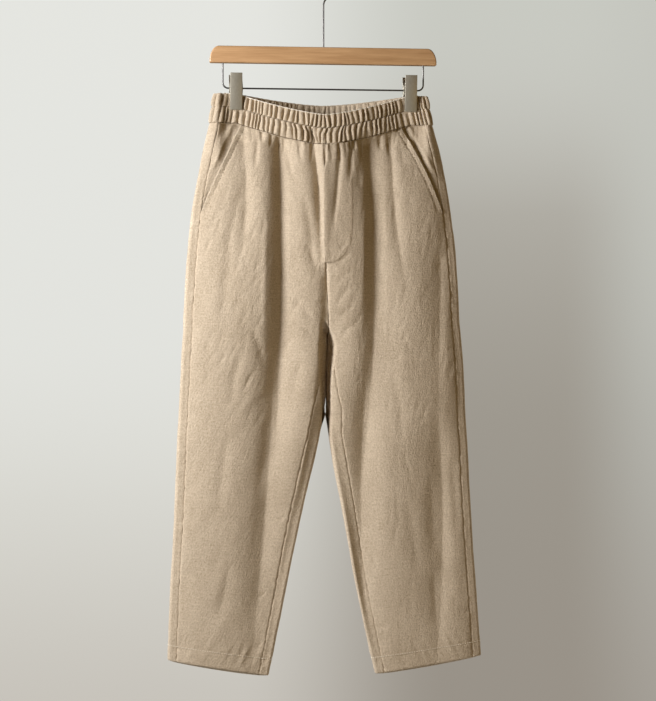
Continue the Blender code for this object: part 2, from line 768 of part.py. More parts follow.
def hanger_hook(name, material):
    """The hook: a straight shank, a short bend, and a bow whose inside top is the origin."""
    middle = HOOK_WIRE - HOOK_RADIUS
    first, last = HOOK_SWEEP
    leaves = math.radians(first)
    bend_start = middle - HOOK_RADIUS * math.cos(leaves) - HOOK_BEND * math.cos(leaves)
    points = [(0, BAR_TOP - HOLE_DEEP + 1)]
    points += arc(HOOK_BEND, bend_start, HOOK_BEND, 180, 90 + first, 4)
    points += arc(0, middle, HOOK_RADIUS, first - 90, last - 90, 20)[1:]
    return wire(name, material, points, HOOK_WIRE)


def rail(name, material):
    """The rail: a wire bent to a wide U, whose ends stand in the bar."""
    turn = RAIL_HALF_LENGTH - RAIL_BEND
    top = BAR_FOOT + HOLE_DEEP - 1
    points = [(-RAIL_HALF_LENGTH, top)]
    points += arc(-turn, RAIL_HEIGHT + RAIL_BEND, RAIL_BEND, 180, 270, 6)
    points += arc(turn, RAIL_HEIGHT + RAIL_BEND, RAIL_BEND, 270, 360, 6)
    points += [(RAIL_HALF_LENGTH, top)]
    return wire(name, material, points, RAIL_WIRE)


def clip_leaf(name, x, face, half, material):
    """Half of a clip: a bent steel channel whose cheeks ride on the rail, with a solid jaw."""
    ear_high, ear_low = RAIL_HEIGHT + 5, RAIL_HEIGHT - 4
    above_cloth = BAND_TOP + 2
    jaw_top = CLIP_FOOT + JAW_HIGH
    outline = [
        (CLIP_SPLAY, CLIP_TOP),
        (CLIP_SPLAY - 3, CLIP_TOP),
        (CLIP_SPLAY - 5, CLIP_TOP + (RAIL_HEIGHT - CLIP_TOP) * 0.4),
        (-2.8, ear_high),
        (-2.8, ear_low),
        (JAW_FACE + 0.4, above_cloth),
        (JAW_FACE + 0.4, jaw_top),
        (JAW_FACE, jaw_top - 0.5),
        (JAW_FACE, CLIP_FOOT),
        (CLIP_JAW, CLIP_FOOT),
    ]
    slope = (CLIP_SPLAY - CLIP_JAW) / (CLIP_TOP - CLIP_FOOT)
    at_jaw = CLIP_JAW + slope * JAW_HIGH - CLIP_SHEET
    at_top = CLIP_SPLAY + slope * 2 - CLIP_SHEET
    inside = [(at_jaw, jaw_top), (at_top, CLIP_TOP + 2), (-20, CLIP_TOP + 2), (-20, jaw_top)]
    flip = [(-face * y, z) for y, z in outline]
    hollow = [(-face * y, z) for y, z in inside]
    leaf = mesh_piece(name, material, prism(flip, x - half, x + half, 0))
    within = half - CLIP_SHEET
    take_away(leaf, cutter(name + "_hollow", prism(hollow, x - within, x + within, 0)))
    take_away(leaf, rod_cutter(name + "_eye", RAIL_WIRE + HOLE_EASE, -15, 15, x, True))
    return leaf


def clip_spring(name, x, material):
    """The clip's coil, close wound round the rail: a turned sleeve."""
    shape = bmesh.new()
    half = SPRING_LONG / 2
    outline = [
        (SPRING_OUTER, half), (SPRING_OUTER, -half), (SPRING_INNER, -half), (SPRING_INNER, half),
    ]
    corners = [shape.verts.new((r * MM, 0, z * MM)) for r, z in outline]
    for k in range(4):
        shape.edges.new((corners[k], corners[(k + 1) % 4]))
    mesh = bpy.data.meshes.new(name)
    shape.to_mesh(mesh)
    shape.free()
    piece = put(name, material, mesh)
    turned = piece.modifiers.new("turned", "SCREW")
    turned.steps = 16
    turned.render_steps = 16
    turned.use_merge_vertices = True
    turned.merge_threshold = 0.00001
    piece.rotation_euler = (0, math.pi / 2, 0)
    piece.location = (x * MM, 0, RAIL_HEIGHT * MM)
    return piece


# ---- materials ----

def material(name, colour, roughness, metallic=0.0):
    made = bpy.data.materials.new(name)
    made.use_nodes = True
    made.diffuse_color = (*colour, 1)
    shader = made.node_tree.nodes["Principled BSDF"]
    shader.inputs["Base Color"].default_value = (*colour, 1)
    shader.inputs["Roughness"].default_value = roughness
    shader.inputs["Metallic"].default_value = metallic
    return made


def clear_scene():
    for old in list(bpy.data.objects):
        bpy.data.objects.remove(old)
    for name in (NAME, NAME + "_cutters"):
        bpy.context.scene.collection.children.link(bpy.data.collections.new(name))


def build():
    clear_scene()
    linen = material("linen", (0.56, 0.44, 0.29), 0.85)
    band_linen = material("band_linen", (0.58, 0.46, 0.31), 0.85)
    beech = material("beech", (0.58, 0.33, 0.16), 0.45)
    dark_wire = material("dark_wire", (0.12, 0.12, 0.12), 0.35, 1.0)
    satin_steel = material("satin_steel", (0.36, 0.35, 0.31), 0.4, 1.0)

    for side, word in ((LEFT, "left"), (RIGHT, "right")):
        front_panel("front_" + word, side, linen)
        back_panel("back_" + word, side, linen)
        pocket_facing("pocket_facing_" + word, side, linen)
        x = side * CLIP_AT
        clip_leaf(f"clip_{word}_front_leaf", x, FRONT, CLIP_FRONT_HALF, satin_steel)
        clip_leaf(f"clip_{word}_back_leaf", x, BACK, CLIP_BACK_HALF, satin_steel)
        clip_spring(f"clip_{word}_spring", x, satin_steel)
    fly_flap("fly_flap", linen)
    waistband("waistband_front", FRONT, FRONT_GATHERS, band_linen)
    waistband("waistband_back", BACK, BACK_GATHERS, band_linen)
    hanger_bar("hanger_bar", beech)
    hanger_hook("hanger_hook", dark_wire)
    rail("rail_wire", dark_wire)


build()
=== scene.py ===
import json
import math

import bmesh
import bpy
import mathutils
import numpy as np
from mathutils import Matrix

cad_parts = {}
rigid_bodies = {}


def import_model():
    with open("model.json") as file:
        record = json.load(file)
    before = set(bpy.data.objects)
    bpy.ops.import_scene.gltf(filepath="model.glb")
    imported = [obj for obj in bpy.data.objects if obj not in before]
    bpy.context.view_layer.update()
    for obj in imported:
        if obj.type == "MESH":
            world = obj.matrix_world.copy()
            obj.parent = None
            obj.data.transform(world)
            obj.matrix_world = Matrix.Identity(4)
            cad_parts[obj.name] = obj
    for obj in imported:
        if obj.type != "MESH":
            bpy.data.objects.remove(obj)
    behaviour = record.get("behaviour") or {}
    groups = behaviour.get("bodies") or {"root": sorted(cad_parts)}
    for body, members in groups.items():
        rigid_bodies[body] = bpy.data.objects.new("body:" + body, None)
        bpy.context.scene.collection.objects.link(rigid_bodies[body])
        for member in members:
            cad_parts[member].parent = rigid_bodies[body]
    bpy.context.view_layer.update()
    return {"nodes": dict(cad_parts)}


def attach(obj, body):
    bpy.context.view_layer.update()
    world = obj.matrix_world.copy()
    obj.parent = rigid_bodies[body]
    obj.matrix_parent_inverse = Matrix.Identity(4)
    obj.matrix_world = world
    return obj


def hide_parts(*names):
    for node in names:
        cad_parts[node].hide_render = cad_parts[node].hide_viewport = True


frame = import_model()

# Lengths below are in millimetres until a mesh is made. The origin is the inside top of the
# hanger's hook, with +Z up. The front faces -Y, and left is the left as seen from the front.


# ======== the legs: two fronts and two backs ========
# Four panels of washed linen and cotton, cut on the straight and sewn at the centre, the sides and
# the inside legs. Each seam draws the cloth in, and the hem is turned up inside and stitched.

MM = 0.001
LEFT, RIGHT = -1, 1
FRONT, BACK = 1, -1
SEAM_GAP = 0.3
BAND_TOP, BAND_FOOT = -196, -243
SLASH_END = -388
CROTCH = -575
INSEAM_TURNS = -628
HEM, HEM_DEEP = -1095, 24
FRONT_SAG, BACK_SAG = 35, 14
SAG_HALF_SPAN, SAG_SHARPNESS, SAG_FADES_OVER = 140, 1.4, 150
HEM_SLANT, BACK_HEM_DROP, SLANT_STARTS = 27, 7, -700
SIDE_SEAM_IN, SLASH_WIDTH = 14, 38
CLIP_AT, PINCH_HALF, PINCH_REACH = 140, 1.5, 24
GRIP_FADES = (-226, -335)
INSEAM_IN = (
    (-628, 2), (-665, 9), (-705, 18), (-770, 21), (-860, 20), (-990, 17), (-1130, 15),
)
SECTION_COLUMNS = (
    "height", "centre", "outer_left", "outer_right",
    "inner_front", "inner_back", "depth_front", "depth_back", "corner",
)
SECTIONS = (
    (-190, 0, 173, 165, -168, -168, 25, 25, 1.0),
    (-240, 0, 182, 175, -174, -174, 28, 28, 1.0),
    (-300, 0, 195, 191, -172, -176, 34, 36, 1.0),
    (-380, 0, 210, 205, -140, -165, 37, 42, 1.0),
    (-460, 1, 219, 213, -72, -140, 37, 44, 0.9),
    (-520, 4, 226, 214, -20, -90, 36, 44, 0.7),
    (-555, 6, 230, 213, 0, -60, 35, 43, 0.6),
    (-575, 7, 231, 214, 6.5, -45, 34, 42, 0.6),
    (-620, 6, 233, 219, 7.5, -32, 32, 39, 0.6),
    (-660, 5, 234, 222, 6, -22, 31, 36, 0.6),
    (-703, 4, 235, 225, 6, -6, 30, 33, 0.65),
    (-735, 1, 234, 230, 7, 6, 29, 30, 0.7),
    (-765, 0, 234, 233, 12, 11.5, 28, 29, 0.75),
    (-860, -2, 236, 240, 32, 32, 25, 26, 0.85),
    (-990, -4, 241, 251, 57.5, 57.5, 20, 21, 0.9),
    (-1130, -3, 247, 261, 87, 87, 15, 16, 0.9),
)
CLOTH_WALL, HEM_WALL = 0.9, 2.0
HEM_ROUND, HEM_FOLD = 0.8, 2.4  # how far both faces of the hem's fold draw in, and from how high

# Large folds: face, top, foot, x of the deepest line at its top, halfway and foot, then how wide
# its left and right walls are, and its depth.
FOLDS = (
    (FRONT, -250, -830, -72, -70, -80, 15, 30, 20.0),
    (FRONT, -500, -1250, -76, -95, -134, 28, 34, 14.5),
    (FRONT, -500, -1000, -7, -29, -87, 36, 8, -3.2),
    (FRONT, -250, -830, 70, 80, 60, 20, 42, 18.5),
    (FRONT, -590, -1180, 72, 60, 82, 26, 30, 14.0),
    (FRONT, -262, -500, -128, -126, -140, 13, 11, 6.0),
    (FRONT, -250, -540, 108, 114, 136, 8, 8, 4.2),
    (FRONT, -248, -500, -20, -7.5, -1, 11, 4.5, 11.0),
    (FRONT, -400, -760, 188, 184, 182, 38, 10, 4.5),
    (FRONT, -660, -1250, 176, 190, 160, 42, 18, 9.5),
    (BACK, -258, -900, -88, -104, -120, 24, 15, 14.0),
    (BACK, -258, -840, 82, 96, 110, 15, 24, 15.0),
    (BACK, -255, -620, -34, -41, -48, 14, 12, 8.0),
    (BACK, -255, -560, 30, 41, 52, 12, 15, 8.0),
    (BACK, -640, -1040, -165, -178, -190, 24, 20, 6.0),
    (BACK, -700, -1050, 150, 168, 185, 20, 24, 6.5),
)
FOLD_SHARP = 1.35  # below 2, the bottom of a fold is a crisp line
FOLD_FADES = 0.45  # a fold starts to fade at this share of its length
FOLD_GROWS, LOW_FOLD_GROWS = 0.05, 0.24  # it is at full depth from this share, high up and lower down
HIGH_UP = -300

# Creases placed one by one: face, start x and z, end x and z, bow to the right, left width,
# right width, depth. A depth below zero is a ridge.
CREASES = (
    (FRONT, -104, -254, -111, -318, 0, 4, 3, 3.4),
    (FRONT, -62.5, -256, -46, -345, -3, 5, 4, 2.4),
    (FRONT, -44, -254, -38, -308, 0, 3, 3, 3.0),
    (FRONT, -29, -254, -27, -276, 0, 2.5, 2.5, 1.6),
    (FRONT, 25, -262, 9, -430, 2, 5, 4, 3.2),
    (FRONT, 31.5, -256, 30, -278, 0, 2.5, 2.5, 1.6),
    (FRONT, 47, -256, 39, -350, -2, 4.5, 4, 2.8),
    (FRONT, 90, -256, 88, -284, 0, 2.5, 2.5, 1.6),
    (FRONT, -36, -345, -18, -490, 3, 8, 8, 3.0),
    (FRONT, 2, -455, 3, -580, 0, 7, 3, 4.2),
    (FRONT, -126, -330, -160, -470, -2, 7, 6, 1.6),
    (FRONT, -148, -412, -168, -566, 2, 8, 9, 1.8),
    (FRONT, -122, -256, -122, -330, -3, 8, 6, -1.8),
    (FRONT, -160, -248, -173, -282, 0, 5, 5, 2.4),
    (FRONT, 141, -248, 159, -302, 0, 4, 5, 2.6),
    (FRONT, 122, -262, 127, -318, 0, 4, 4, 1.6),
    (FRONT, -96, -340, -99, -620, 2, 7, 6, -1.6),
    (FRONT, -54, -300, -56, -560, -2, 8, 8, -1.4),
    (FRONT, -40, -424, -12, -490, 6, 9, 7, 2.0),
    (FRONT, -52, -520, -20, -566, 5, 7, 6, 1.6),
    (FRONT, -60, -560, -14, -588, 8, 6, 6, 1.4),
    (FRONT, -120, -560, -96, -640, 3, 7, 6, 1.5),
    (FRONT, -132, -600, -150, -700, -3, 8, 7, 1.6),
    (FRONT, -36, -600, -58, -700, 2, 7, 8, 1.2),
    (FRONT, -90, -700, -108, -860, 3, 8, 8, 1.6),
    (FRONT, -150, -720, -170, -880, -3, 10, 9, 1.5),
    (FRONT, -92, -988, -108, -998, 1, 3, 3, 1.2),
    (FRONT, -98, -1068, -114, -1081, 1, 3, 3, 1.1),
    (FRONT, -60, -860, -78, -882, 1, 4, 4, 0.9),
    (FRONT, -150, -930, -172, -1040, 2, 8, 8, 1.5),
    (FRONT, 60, -300, 58, -610, 2, 7, 7, -1.4),
    (FRONT, 96, -330, 100, -600, 2, 9, 9, -1.2),
    (FRONT, 20, -446, 38, -432, 1, 3, 3, 0.9),
    (FRONT, 17, -470, 40, -452, 1, 3, 3, 1.0),
    (FRONT, 18, -500, 44, -476, 2, 3, 4, 1.1),
    (FRONT, 17, -532, 46, -500, 2, 4, 4, 1.3),
    (FRONT, 20, -556, 52, -530, 3, 4, 4, 1.2),
    (FRONT, 24, -580, 60, -560, 3, 5, 5, 1.3),
    (FRONT, 168, -800, 176, -950, 3, 12, 12, 2.2),
    (FRONT, 176, -950, 182, -1066, 0, 8, 8, 1.8),
    (FRONT, 72, -700, 60, -836, 0, 8, 9, 1.8),
    (FRONT, 108, -640, 124, -760, 4, 9, 9, 1.5),
    (FRONT, 128, -830, 150, -980, 4, 10, 9, 1.4),
    (FRONT, 73, -931, 86, -950, 1, 3, 3, 1.3),
    (FRONT, 81, -1039, 106, -1049, -2, 3, 3, 1.3),
    (FRONT, 204, -760, 214, -930, 2, 7, 7, 1.4),
    (BACK, -128, -262, -150, -400, 3, 9, 8, 2.4),
    (BACK, -104, -256, -110, -330, -2, 5, 6, 1.8),
    (BACK, -60, -256, -64, -318, 1, 4, 4, 1.8),
    (BACK, -14, -262, -18, -312, 1, 4, 4, 1.6),
    (BACK, 16, -262, 14, -300, 1, 4, 4, 1.4),
    (BACK, 60, -256, 64, -330, 1, 5, 5, 1.8),
    (BACK, 112, -256, 126, -380, 3, 8, 8, 2.2),
    (BACK, -10, -520, -70, -600, -8, 9, 9, 2.4),
    (BACK, -12, -560, -80, -660, -8, 9, 8, 2.2),
    (BACK, 8, -530, 74, -610, 8, 9, 9, 2.4),
    (BACK, 10, -580, 70, -690, 8, 8, 8, 2.0),
    (BACK, -120, -640, -96, -760, 3, 9, 9, 1.8),
    (BACK, 112, -600, 140, -760, 3, 9, 9, 1.8),
    (BACK, -150, -780, -130, -900, 4, 10, 9, 1.8),
    (BACK, 120, -800, 160, -950, 4, 10, 9, 1.8),
    (BACK, -110, -900, -150, -1040, 3, 9, 9, 1.6),
    (BACK, 110, -900, 100, -1040, 3, 9, 9, 1.4),
    (BACK, 200, -700, 208, -900, 2, 9, 9, 1.5),
)

# Small creases strewn by chance: face, how many, x from and to, z from and to, angle from straight
# down in degrees, its scatter, length from and to, width from and to, depth from and to.
STREWN = (
    (FRONT, 90, -190, -100, -400, -720, -25, 7, 20, 52, 1.8, 3.0, 0.25, 0.65),
    (FRONT, 50, 96, 205, -380, -720, -13, 9, 18, 48, 2.0, 3.2, 0.2, 0.5),
    (FRONT, 44, -60, 60, -430, -700, -38, 12, 14, 40, 1.8, 3.0, 0.25, 0.7),
    (FRONT, 26, -210, -40, -300, -430, -14, 10, 18, 60, 2.4, 4.0, 0.2, 0.6),
    (FRONT, 26, 40, 210, -300, -430, 6, 10, 18, 60, 2.4, 4.0, 0.2, 0.6),
    (FRONT, 36, -215, -70, -700, -1070, -16, 12, 18, 50, 2.0, 3.4, 0.12, 0.35),
    (FRONT, 36, 70, 220, -700, -1070, -8, 12, 18, 50, 2.0, 3.4, 0.12, 0.35),
    (BACK, 60, -190, -40, -430, -720, -36, 16, 18, 50, 2.6, 5.0, 0.4, 1.2),
    (BACK, 60, 40, 190, -430, -720, 36, 16, 18, 50, 2.6, 5.0, 0.4, 1.2),
    (BACK, 40, -200, 200, -290, -430, 0, 18, 18, 60, 3.0, 6.0, 0.3, 1.0),
    (BACK, 44, -215, -70, -720, -1070, -16, 26, 20, 70, 3.0, 7.0, 0.3, 0.9),
    (BACK, 44, 70, 220, -720, -1070, 16, 26, 20, 70, 3.0, 7.0, 0.3, 0.9),
)
GAP = (  # the opening between the legs at the front: height, its middle, half its width
    (-552, -3, 1.5), (-570, 0.5, 6), (-598, 4.0, 11), (-625, 3.0, 9.4), (-650, 2.2, 8),
    (-700, 3, 6.4), (-770, 3, 5.6),
)
GAP_DEEP, GAP_SPAN = 22, (-552, -575, -700, -760)
# The pressed strip beside a fold of the leg: how wide it is, the radius of the fold, and how far
# pressing flattens it, from 0 to 1. It starts at the outer fold, and lower down at the inner one.
STRIP, STRIP_ROUND, STRIP_FLAT = 14, 4, 0.55
OUTER_PRESSED, INNER_PRESSED, PRESSED_OVER = -290, -700, 60
NOTCHES = (40, 40)  # short dents under the gathers, on the front and on the back
SCATTER_SEED = 11


def smooth(share):
    """An even ramp from 0 to 1."""
    share = np.clip(share, 0.0, 1.0)
    return share * share * (3 - 2 * share)


def table(rows):
    """A function of height that runs smoothly through a table's rows, with no overshoot."""
    data = np.array(sorted(rows), float)
    heights, values = data[:, 0], data[:, 1:]
    rises = np.diff(values, axis=0) / np.diff(heights)[:, None]
    slopes = np.vstack([rises[:1], rises])
    agree = rises[:-1] * rises[1:] > 0
    total = np.where(agree, rises[:-1] + rises[1:], 1)
    slopes[1:-1] = np.where(agree, 2 * rises[:-1] * rises[1:] / total, 0)

    def at(height):
        height = np.clip(height, heights[0], heights[-1])
        k = np.clip(np.searchsorted(heights, height) - 1, 0, len(heights) - 2)
        step = (heights[k + 1] - heights[k])[..., None]
        t = (height - heights[k])[..., None] / step
        out, back = slopes[k] * step, slopes[k + 1] * step
        curve = values[k] * (1 + 2 * t) * (1 - t) ** 2 + out * t * (1 - t) ** 2
        return curve + values[k + 1] * t * t * (3 - 2 * t) - back * t * t * (1 - t)

    return at


section_at = table(SECTIONS)
inseam_at = table(INSEAM_IN)
gap_at = table(GAP)


def strew(rng, row):
    """Creases strewn over one region, in the columns of CREASES."""
    face, count, x0, x1, z0, z1, angle, scatter, short, long, thin, wide, low, deep = row
    for _ in range(count):
        x, z = rng.uniform(x0, x1), rng.uniform(z1, z0)
        lean = math.radians(angle + rng.normal(0, scatter))
        length = rng.uniform(short, long)
        dx, dz = length * math.sin(lean) / 2, -length * math.cos(lean) / 2
        left, right = rng.uniform(thin, wide, 2)
        depth = rng.uniform(low, deep)
        yield face, x - dx, z - dz, x + dx, z + dz, rng.uniform(-0.08, 0.08) * length, left, right, depth


def sag_at(x, face):
    deepest = FRONT_SAG if face == FRONT else BACK_SAG
    return deepest * (1 - np.clip(np.abs(x) / SAG_HALF_SPAN, 0, 1) ** SAG_SHARPNESS)


def notches(rng, face, count):
    """Dents that run down from the band's lower stitching, from where its gathers end."""
    for x in np.linspace(-160, 160, count) + rng.uniform(-4, 4, count):
        top = BAND_FOOT - sag_at(x, face) + 8
        length = rng.uniform(22, 54)
        left, right = rng.uniform(1.6, 3.2, 2)
        yield (face, x, top, x + rng.normal(0, 0.07) * length, top - length, 0, left, right,
               rng.uniform(0.8, 3.2))


rng = np.random.default_rng(SCATTER_SEED)
ALL_CREASES = list(CREASES)
for row in STREWN:
    ALL_CREASES += strew(rng, row)
ALL_CREASES += notches(rng, FRONT, NOTCHES[0])
ALL_CREASES += notches(rng, BACK, NOTCHES[1])


def cut(height):
    values = section_at(np.asarray(height, float))
    return {name: values[..., i] for i, name in enumerate(SECTION_COLUMNS[1:])}


def folds_at(x, z, face):
    """How far the large folds sink the cloth."""
    sunk = np.zeros(x.shape)
    for on, top, foot, x_top, x_half, x_foot, left, right, depth in FOLDS:
        share = (top - z) / (top - foot)
        line = x_top * (1 - share) * (1 - 2 * share) + x_half * 4 * share * (1 - share)
        line = line + x_foot * share * (2 * share - 1)
        wide = np.where(x < line, left, right)
        grows = FOLD_GROWS if top > HIGH_UP else LOW_FOLD_GROWS
        along = smooth(share / grows) * (1 - smooth((share - FOLD_FADES) / (1 - FOLD_FADES)))
        trough = depth * along * np.exp(-np.abs((x - line) / wide) ** FOLD_SHARP)
        sunk = sunk + np.where(face == on, trough, 0)
    return sunk


def creases_at(x, z, face):
    """How far the small creases sink the cloth."""
    sunk = np.zeros(x.shape)
    for on, x0, z0, x1, z1, bow, left, right, depth in ALL_CREASES:
        length = math.hypot(x1 - x0, z1 - z0)
        ux, uz = (x1 - x0) / length, (z1 - z0) / length
        share = ((x - x0) * ux + (z - z0) * uz) / length
        near = (share > 0) & (share < 1) & (face == on)
        if not near.any():
            continue
        part = share[near]
        off = ((z - z0) * ux - (x - x0) * uz)[near] - bow * 4 * part * (1 - part)
        wide = np.where(off < 0, left, right)
        along = smooth(part / 0.3) * smooth((1 - part) / 0.4)
        sunk[near] += depth * along * np.exp(-np.abs(off / wide) ** 1.6)
    return sunk


def gap_sinks(x, z):
    """How far the cloth turns in where the legs part at the front."""
    gap = gap_at(z)
    top, whole, low, foot = GAP_SPAN
    along = smooth((top - z) / (top - whole)) * (1 - smooth((low - z) / (low - foot)))
    return GAP_DEEP * along * np.exp(-((x - gap[..., 0]) / gap[..., 1]) ** 6)


def pressed(y, from_edge, wide, corner, depth, share):
    """The seam's turnings flatten a strip beside the leg's fold, on both faces."""
    across = np.clip(1 - 2 * STRIP / wide, 0, 1) ** (1 / corner)
    level = depth * (1 - across ** 2) ** (corner / 2)
    level = level * np.sqrt(1 - (1 - np.clip(from_edge / STRIP_ROUND, 0, 1)) ** 2)
    return y + (np.sign(y) * level - y) * smooth((STRIP + 3 - from_edge) / STRIP) * STRIP_FLAT * share


def signed_power(value, power):
    return np.sign(value) * np.abs(value) ** power


def from_middle(side, turn, height):
    """(distance out from the middle, y, section). turn is 0 at the inner leg and grows by way of
    the front, the outer fold and the back."""
    c = cut(height)
    across, swell = np.cos(turn), np.sin(turn)
    corner = np.where(across > 0, c["corner"], 1.0)
    inner = c["inner_front"] + (c["inner_back"] - c["inner_front"]) * smooth((1 - swell) / 2)
    mean = (c["outer_left"] + c["outer_right"]) / 2
    out = inner + (mean - inner) * (1 - signed_power(across, corner)) / 2
    outer = c["outer_left"] if side == LEFT else c["outer_right"]
    out = out * (1 + (outer / mean - 1) * np.clip(out / mean, 0, 1))
    depth = np.where(swell > 0, c["depth_front"], c["depth_back"])
    return out, -depth * signed_power(swell, corner), c


def cloth(side, turn, height, creased=False):
    """Points of the panels' outer face."""
    turn, height = np.broadcast_arrays(np.asarray(turn, float), np.asarray(height, float))
    out, y, c = from_middle(side, turn, height)
    x = c["centre"] + side * out
    grip = 1 - smooth((GRIP_FADES[0] - height) / (GRIP_FADES[0] - GRIP_FADES[1]))
    inside = 1 - (1 - np.clip((CLIP_AT - 10 - np.abs(x)) / (CLIP_AT - 10), 0, 1)) ** 2
    outside = np.exp(-((np.abs(x) - CLIP_AT) / PINCH_REACH) ** 6)
    held = grip * np.where(np.abs(x) < CLIP_AT, 1 - inside, outside)
    y = y * (1 - held) + np.sign(y) * PINCH_HALF * held
    face = np.where(np.sin(turn) > 0, FRONT, BACK)
    facing = np.abs(np.sin(turn))
    room = smooth((out - 1) / 8) * smooth(facing / 0.6)
    if creased:
        outer = c["outer_left"] if side == LEFT else c["outer_right"]
        wide = outer - c["inner_front"]
        depth = np.where(y < 0, c["depth_front"], c["depth_back"])
        share = smooth((OUTER_PRESSED - height) / PRESSED_OVER)
        y = pressed(y, outer - out, wide, 1.0, depth, share)
        share = smooth((INNER_PRESSED - height) / PRESSED_OVER)
        y = pressed(y, out - c["inner_front"], wide, c["corner"], depth, share)
    y = y + face * room * folds_at(x, height, face)
    if creased:
        y = y + face * smooth(facing / 0.4) * (1 - 0.7 * held) * creases_at(x, height, face)
        y = y + np.where(face == FRONT, gap_sinks(x, height), 0)
    return np.stack([x, y, height], axis=-1)


def outward(side, turn, height):
    """Level unit vectors, square to the panels' outer face."""
    small = 1e-3
    round_it = cloth(side, turn + small, height) - cloth(side, turn - small, height)
    normal = np.cross(round_it, (0, 0, side))
    return normal / np.linalg.norm(normal, axis=-1, keepdims=True)


def hang(side, turn, level):
    """The height of a level line of the cut, once the garment hangs from its clips."""
    turn, level = np.broadcast_arrays(np.asarray(turn, float), np.asarray(level, float))
    deepest = np.where(np.sin(turn) > 0, FRONT_SAG, BACK_SAG)
    left = np.clip(1 - (BAND_FOOT - level) / SAG_FADES_OVER, 0, 1) ** 1.5
    low = np.clip((SLANT_STARTS - level) / (SLANT_STARTS - HEM), 0, 1)
    behind = np.clip(-np.sin(turn), 0, 1)
    height = level
    for _ in range(3):
        out, _, c = from_middle(side, turn, height)
        x = np.abs(c["centre"] + side * out)
        sag = deepest * (1 - np.clip(x / SAG_HALF_SPAN, 0, 1) ** SAG_SHARPNESS)
        outer = c["outer_left"] if side == LEFT else c["outer_right"]
        inward = np.clip((outer - out) / (outer - c["inner_front"]), 0, 1)
        height = level - sag * left - low * (HEM_SLANT * inward + BACK_HEM_DROP * behind)
    return height


def hung(side, turn, level):
    """(points of the hanging cloth, creases and all; level vectors square to it)."""
    height = hang(side, turn, level)
    return cloth(side, turn, height, creased=True), outward(side, turn, height)


def draped(side, turn, level, lift=0.0):
    """Points of the hanging cloth, lifted off it by lift."""
    face, square = hung(side, turn, level)
    return face + square * np.broadcast_to(lift, face.shape[:-1])[..., None]


def first_turns(side, levels, start, end, gap):
    """For each level, the first turn from start to end where gap(out, section) changes sign."""
    levels = np.asarray(levels, float)[:, None]
    start = np.broadcast_to(start, levels.shape)
    end = np.broadcast_to(end, levels.shape)
    rows = np.arange(len(levels))
    for steps in (300, 50, 50):
        turns = start + (end - start) * np.linspace(0, 1, steps)
        out, _, c = from_middle(side, turns, hang(side, turns, levels))
        signs = np.sign(gap(out, c))
        k = (signs[:, 1:] != signs[:, :-1]).argmax(axis=1)
        start, end = turns[rows, k][:, None], turns[rows, k + 1][:, None]
    return ((start + end) / 2)[:, 0]


def rise_turns(side, levels, face):
    ends = (math.pi / 2, -math.pi / 2) if face == FRONT else (3 * math.pi / 2, 5 * math.pi / 2)
    return first_turns(side, levels, *ends, lambda out, c: out - SEAM_GAP / 2)


def side_turns(side, levels):
    outer = "outer_left" if side == LEFT else "outer_right"
    return first_turns(
        side, levels, math.pi / 2, math.pi, lambda out, c: out - (c[outer] - SIDE_SEAM_IN)
    )


def inseam_turns(side, levels):
    """The inside leg seam: from the crotch, round the inner edge, and down the front."""
    levels = np.asarray(levels, float)
    inset = inseam_at(levels)[:, :1]
    low = first_turns(
        side, np.minimum(levels, INSEAM_TURNS), math.pi / 2, 0.0,
        lambda out, c: out - c["inner_front"] - inset,
    )
    start = rise_turns(side, [CROTCH], FRONT)[0]
    share = (CROTCH - levels) / (CROTCH - INSEAM_TURNS)
    return np.where(levels > INSEAM_TURNS, start + (low - start) * np.minimum(share, 1), low)


def find_saddle():
    """The level where the two legs part behind the crotch, and its turn."""
    turns = np.linspace(-math.pi / 2, math.pi / 2, 721)
    high, low = INSEAM_TURNS, -760.0
    for _ in range(40):
        middle = (high + low) / 2
        if from_middle(LEFT, turns, np.full(turns.shape, middle))[0].min() < SEAM_GAP / 2:
            high = middle
        else:
            low = middle
    out = from_middle(LEFT, turns, np.full(turns.shape, low))[0]
    return low, turns[out.argmin()] + 2 * math.pi


SADDLE, SADDLE_TURN = find_saddle()


def level_rows():
    """Levels of the panels' rows, closer together at the band, the seams' ends and the hem."""
    fixed = [BAND_FOOT + 2.5, BAND_FOOT, BAND_FOOT - 8, SLASH_END, CROTCH, INSEAM_TURNS, SADDLE,
             HEM + HEM_DEEP + 2, HEM + HEM_DEEP, HEM + HEM_DEEP - 2, HEM + HEM_FOLD, HEM]
    steps = [2, 4, 58, 72, 20, 22, 138, 1, 1, 9, 3]
    rows = [fixed[0]]
    for high, low, count in zip(fixed, fixed[1:], steps):
        rows += list(np.linspace(high, low, count + 1)[1:])
    return np.array(rows)


def runs(side, levels, start, end):
    """(turns, distance along) for each level line from start to end, both rows by steps."""
    share = np.linspace(0, 1, 260)
    turns = start[:, None] + (end - start)[:, None] * share
    points = cloth(side, turns, hang(side, turns, levels[:, None]))
    steps = np.linalg.norm(np.diff(points, axis=1), axis=2)
    return turns, np.concatenate([np.zeros((len(levels), 1)), np.cumsum(steps, axis=1)], axis=1)


def turns_at(distances, run, turns):
    """The turns at distances along each row's run."""
    return np.array([np.interp(*one) for one in zip(distances, run, turns)])


EDGE_STEPS = (0, 0.5, 1.2, 2.2, 3.6, 5.4)  # columns beside a seam, then even ones


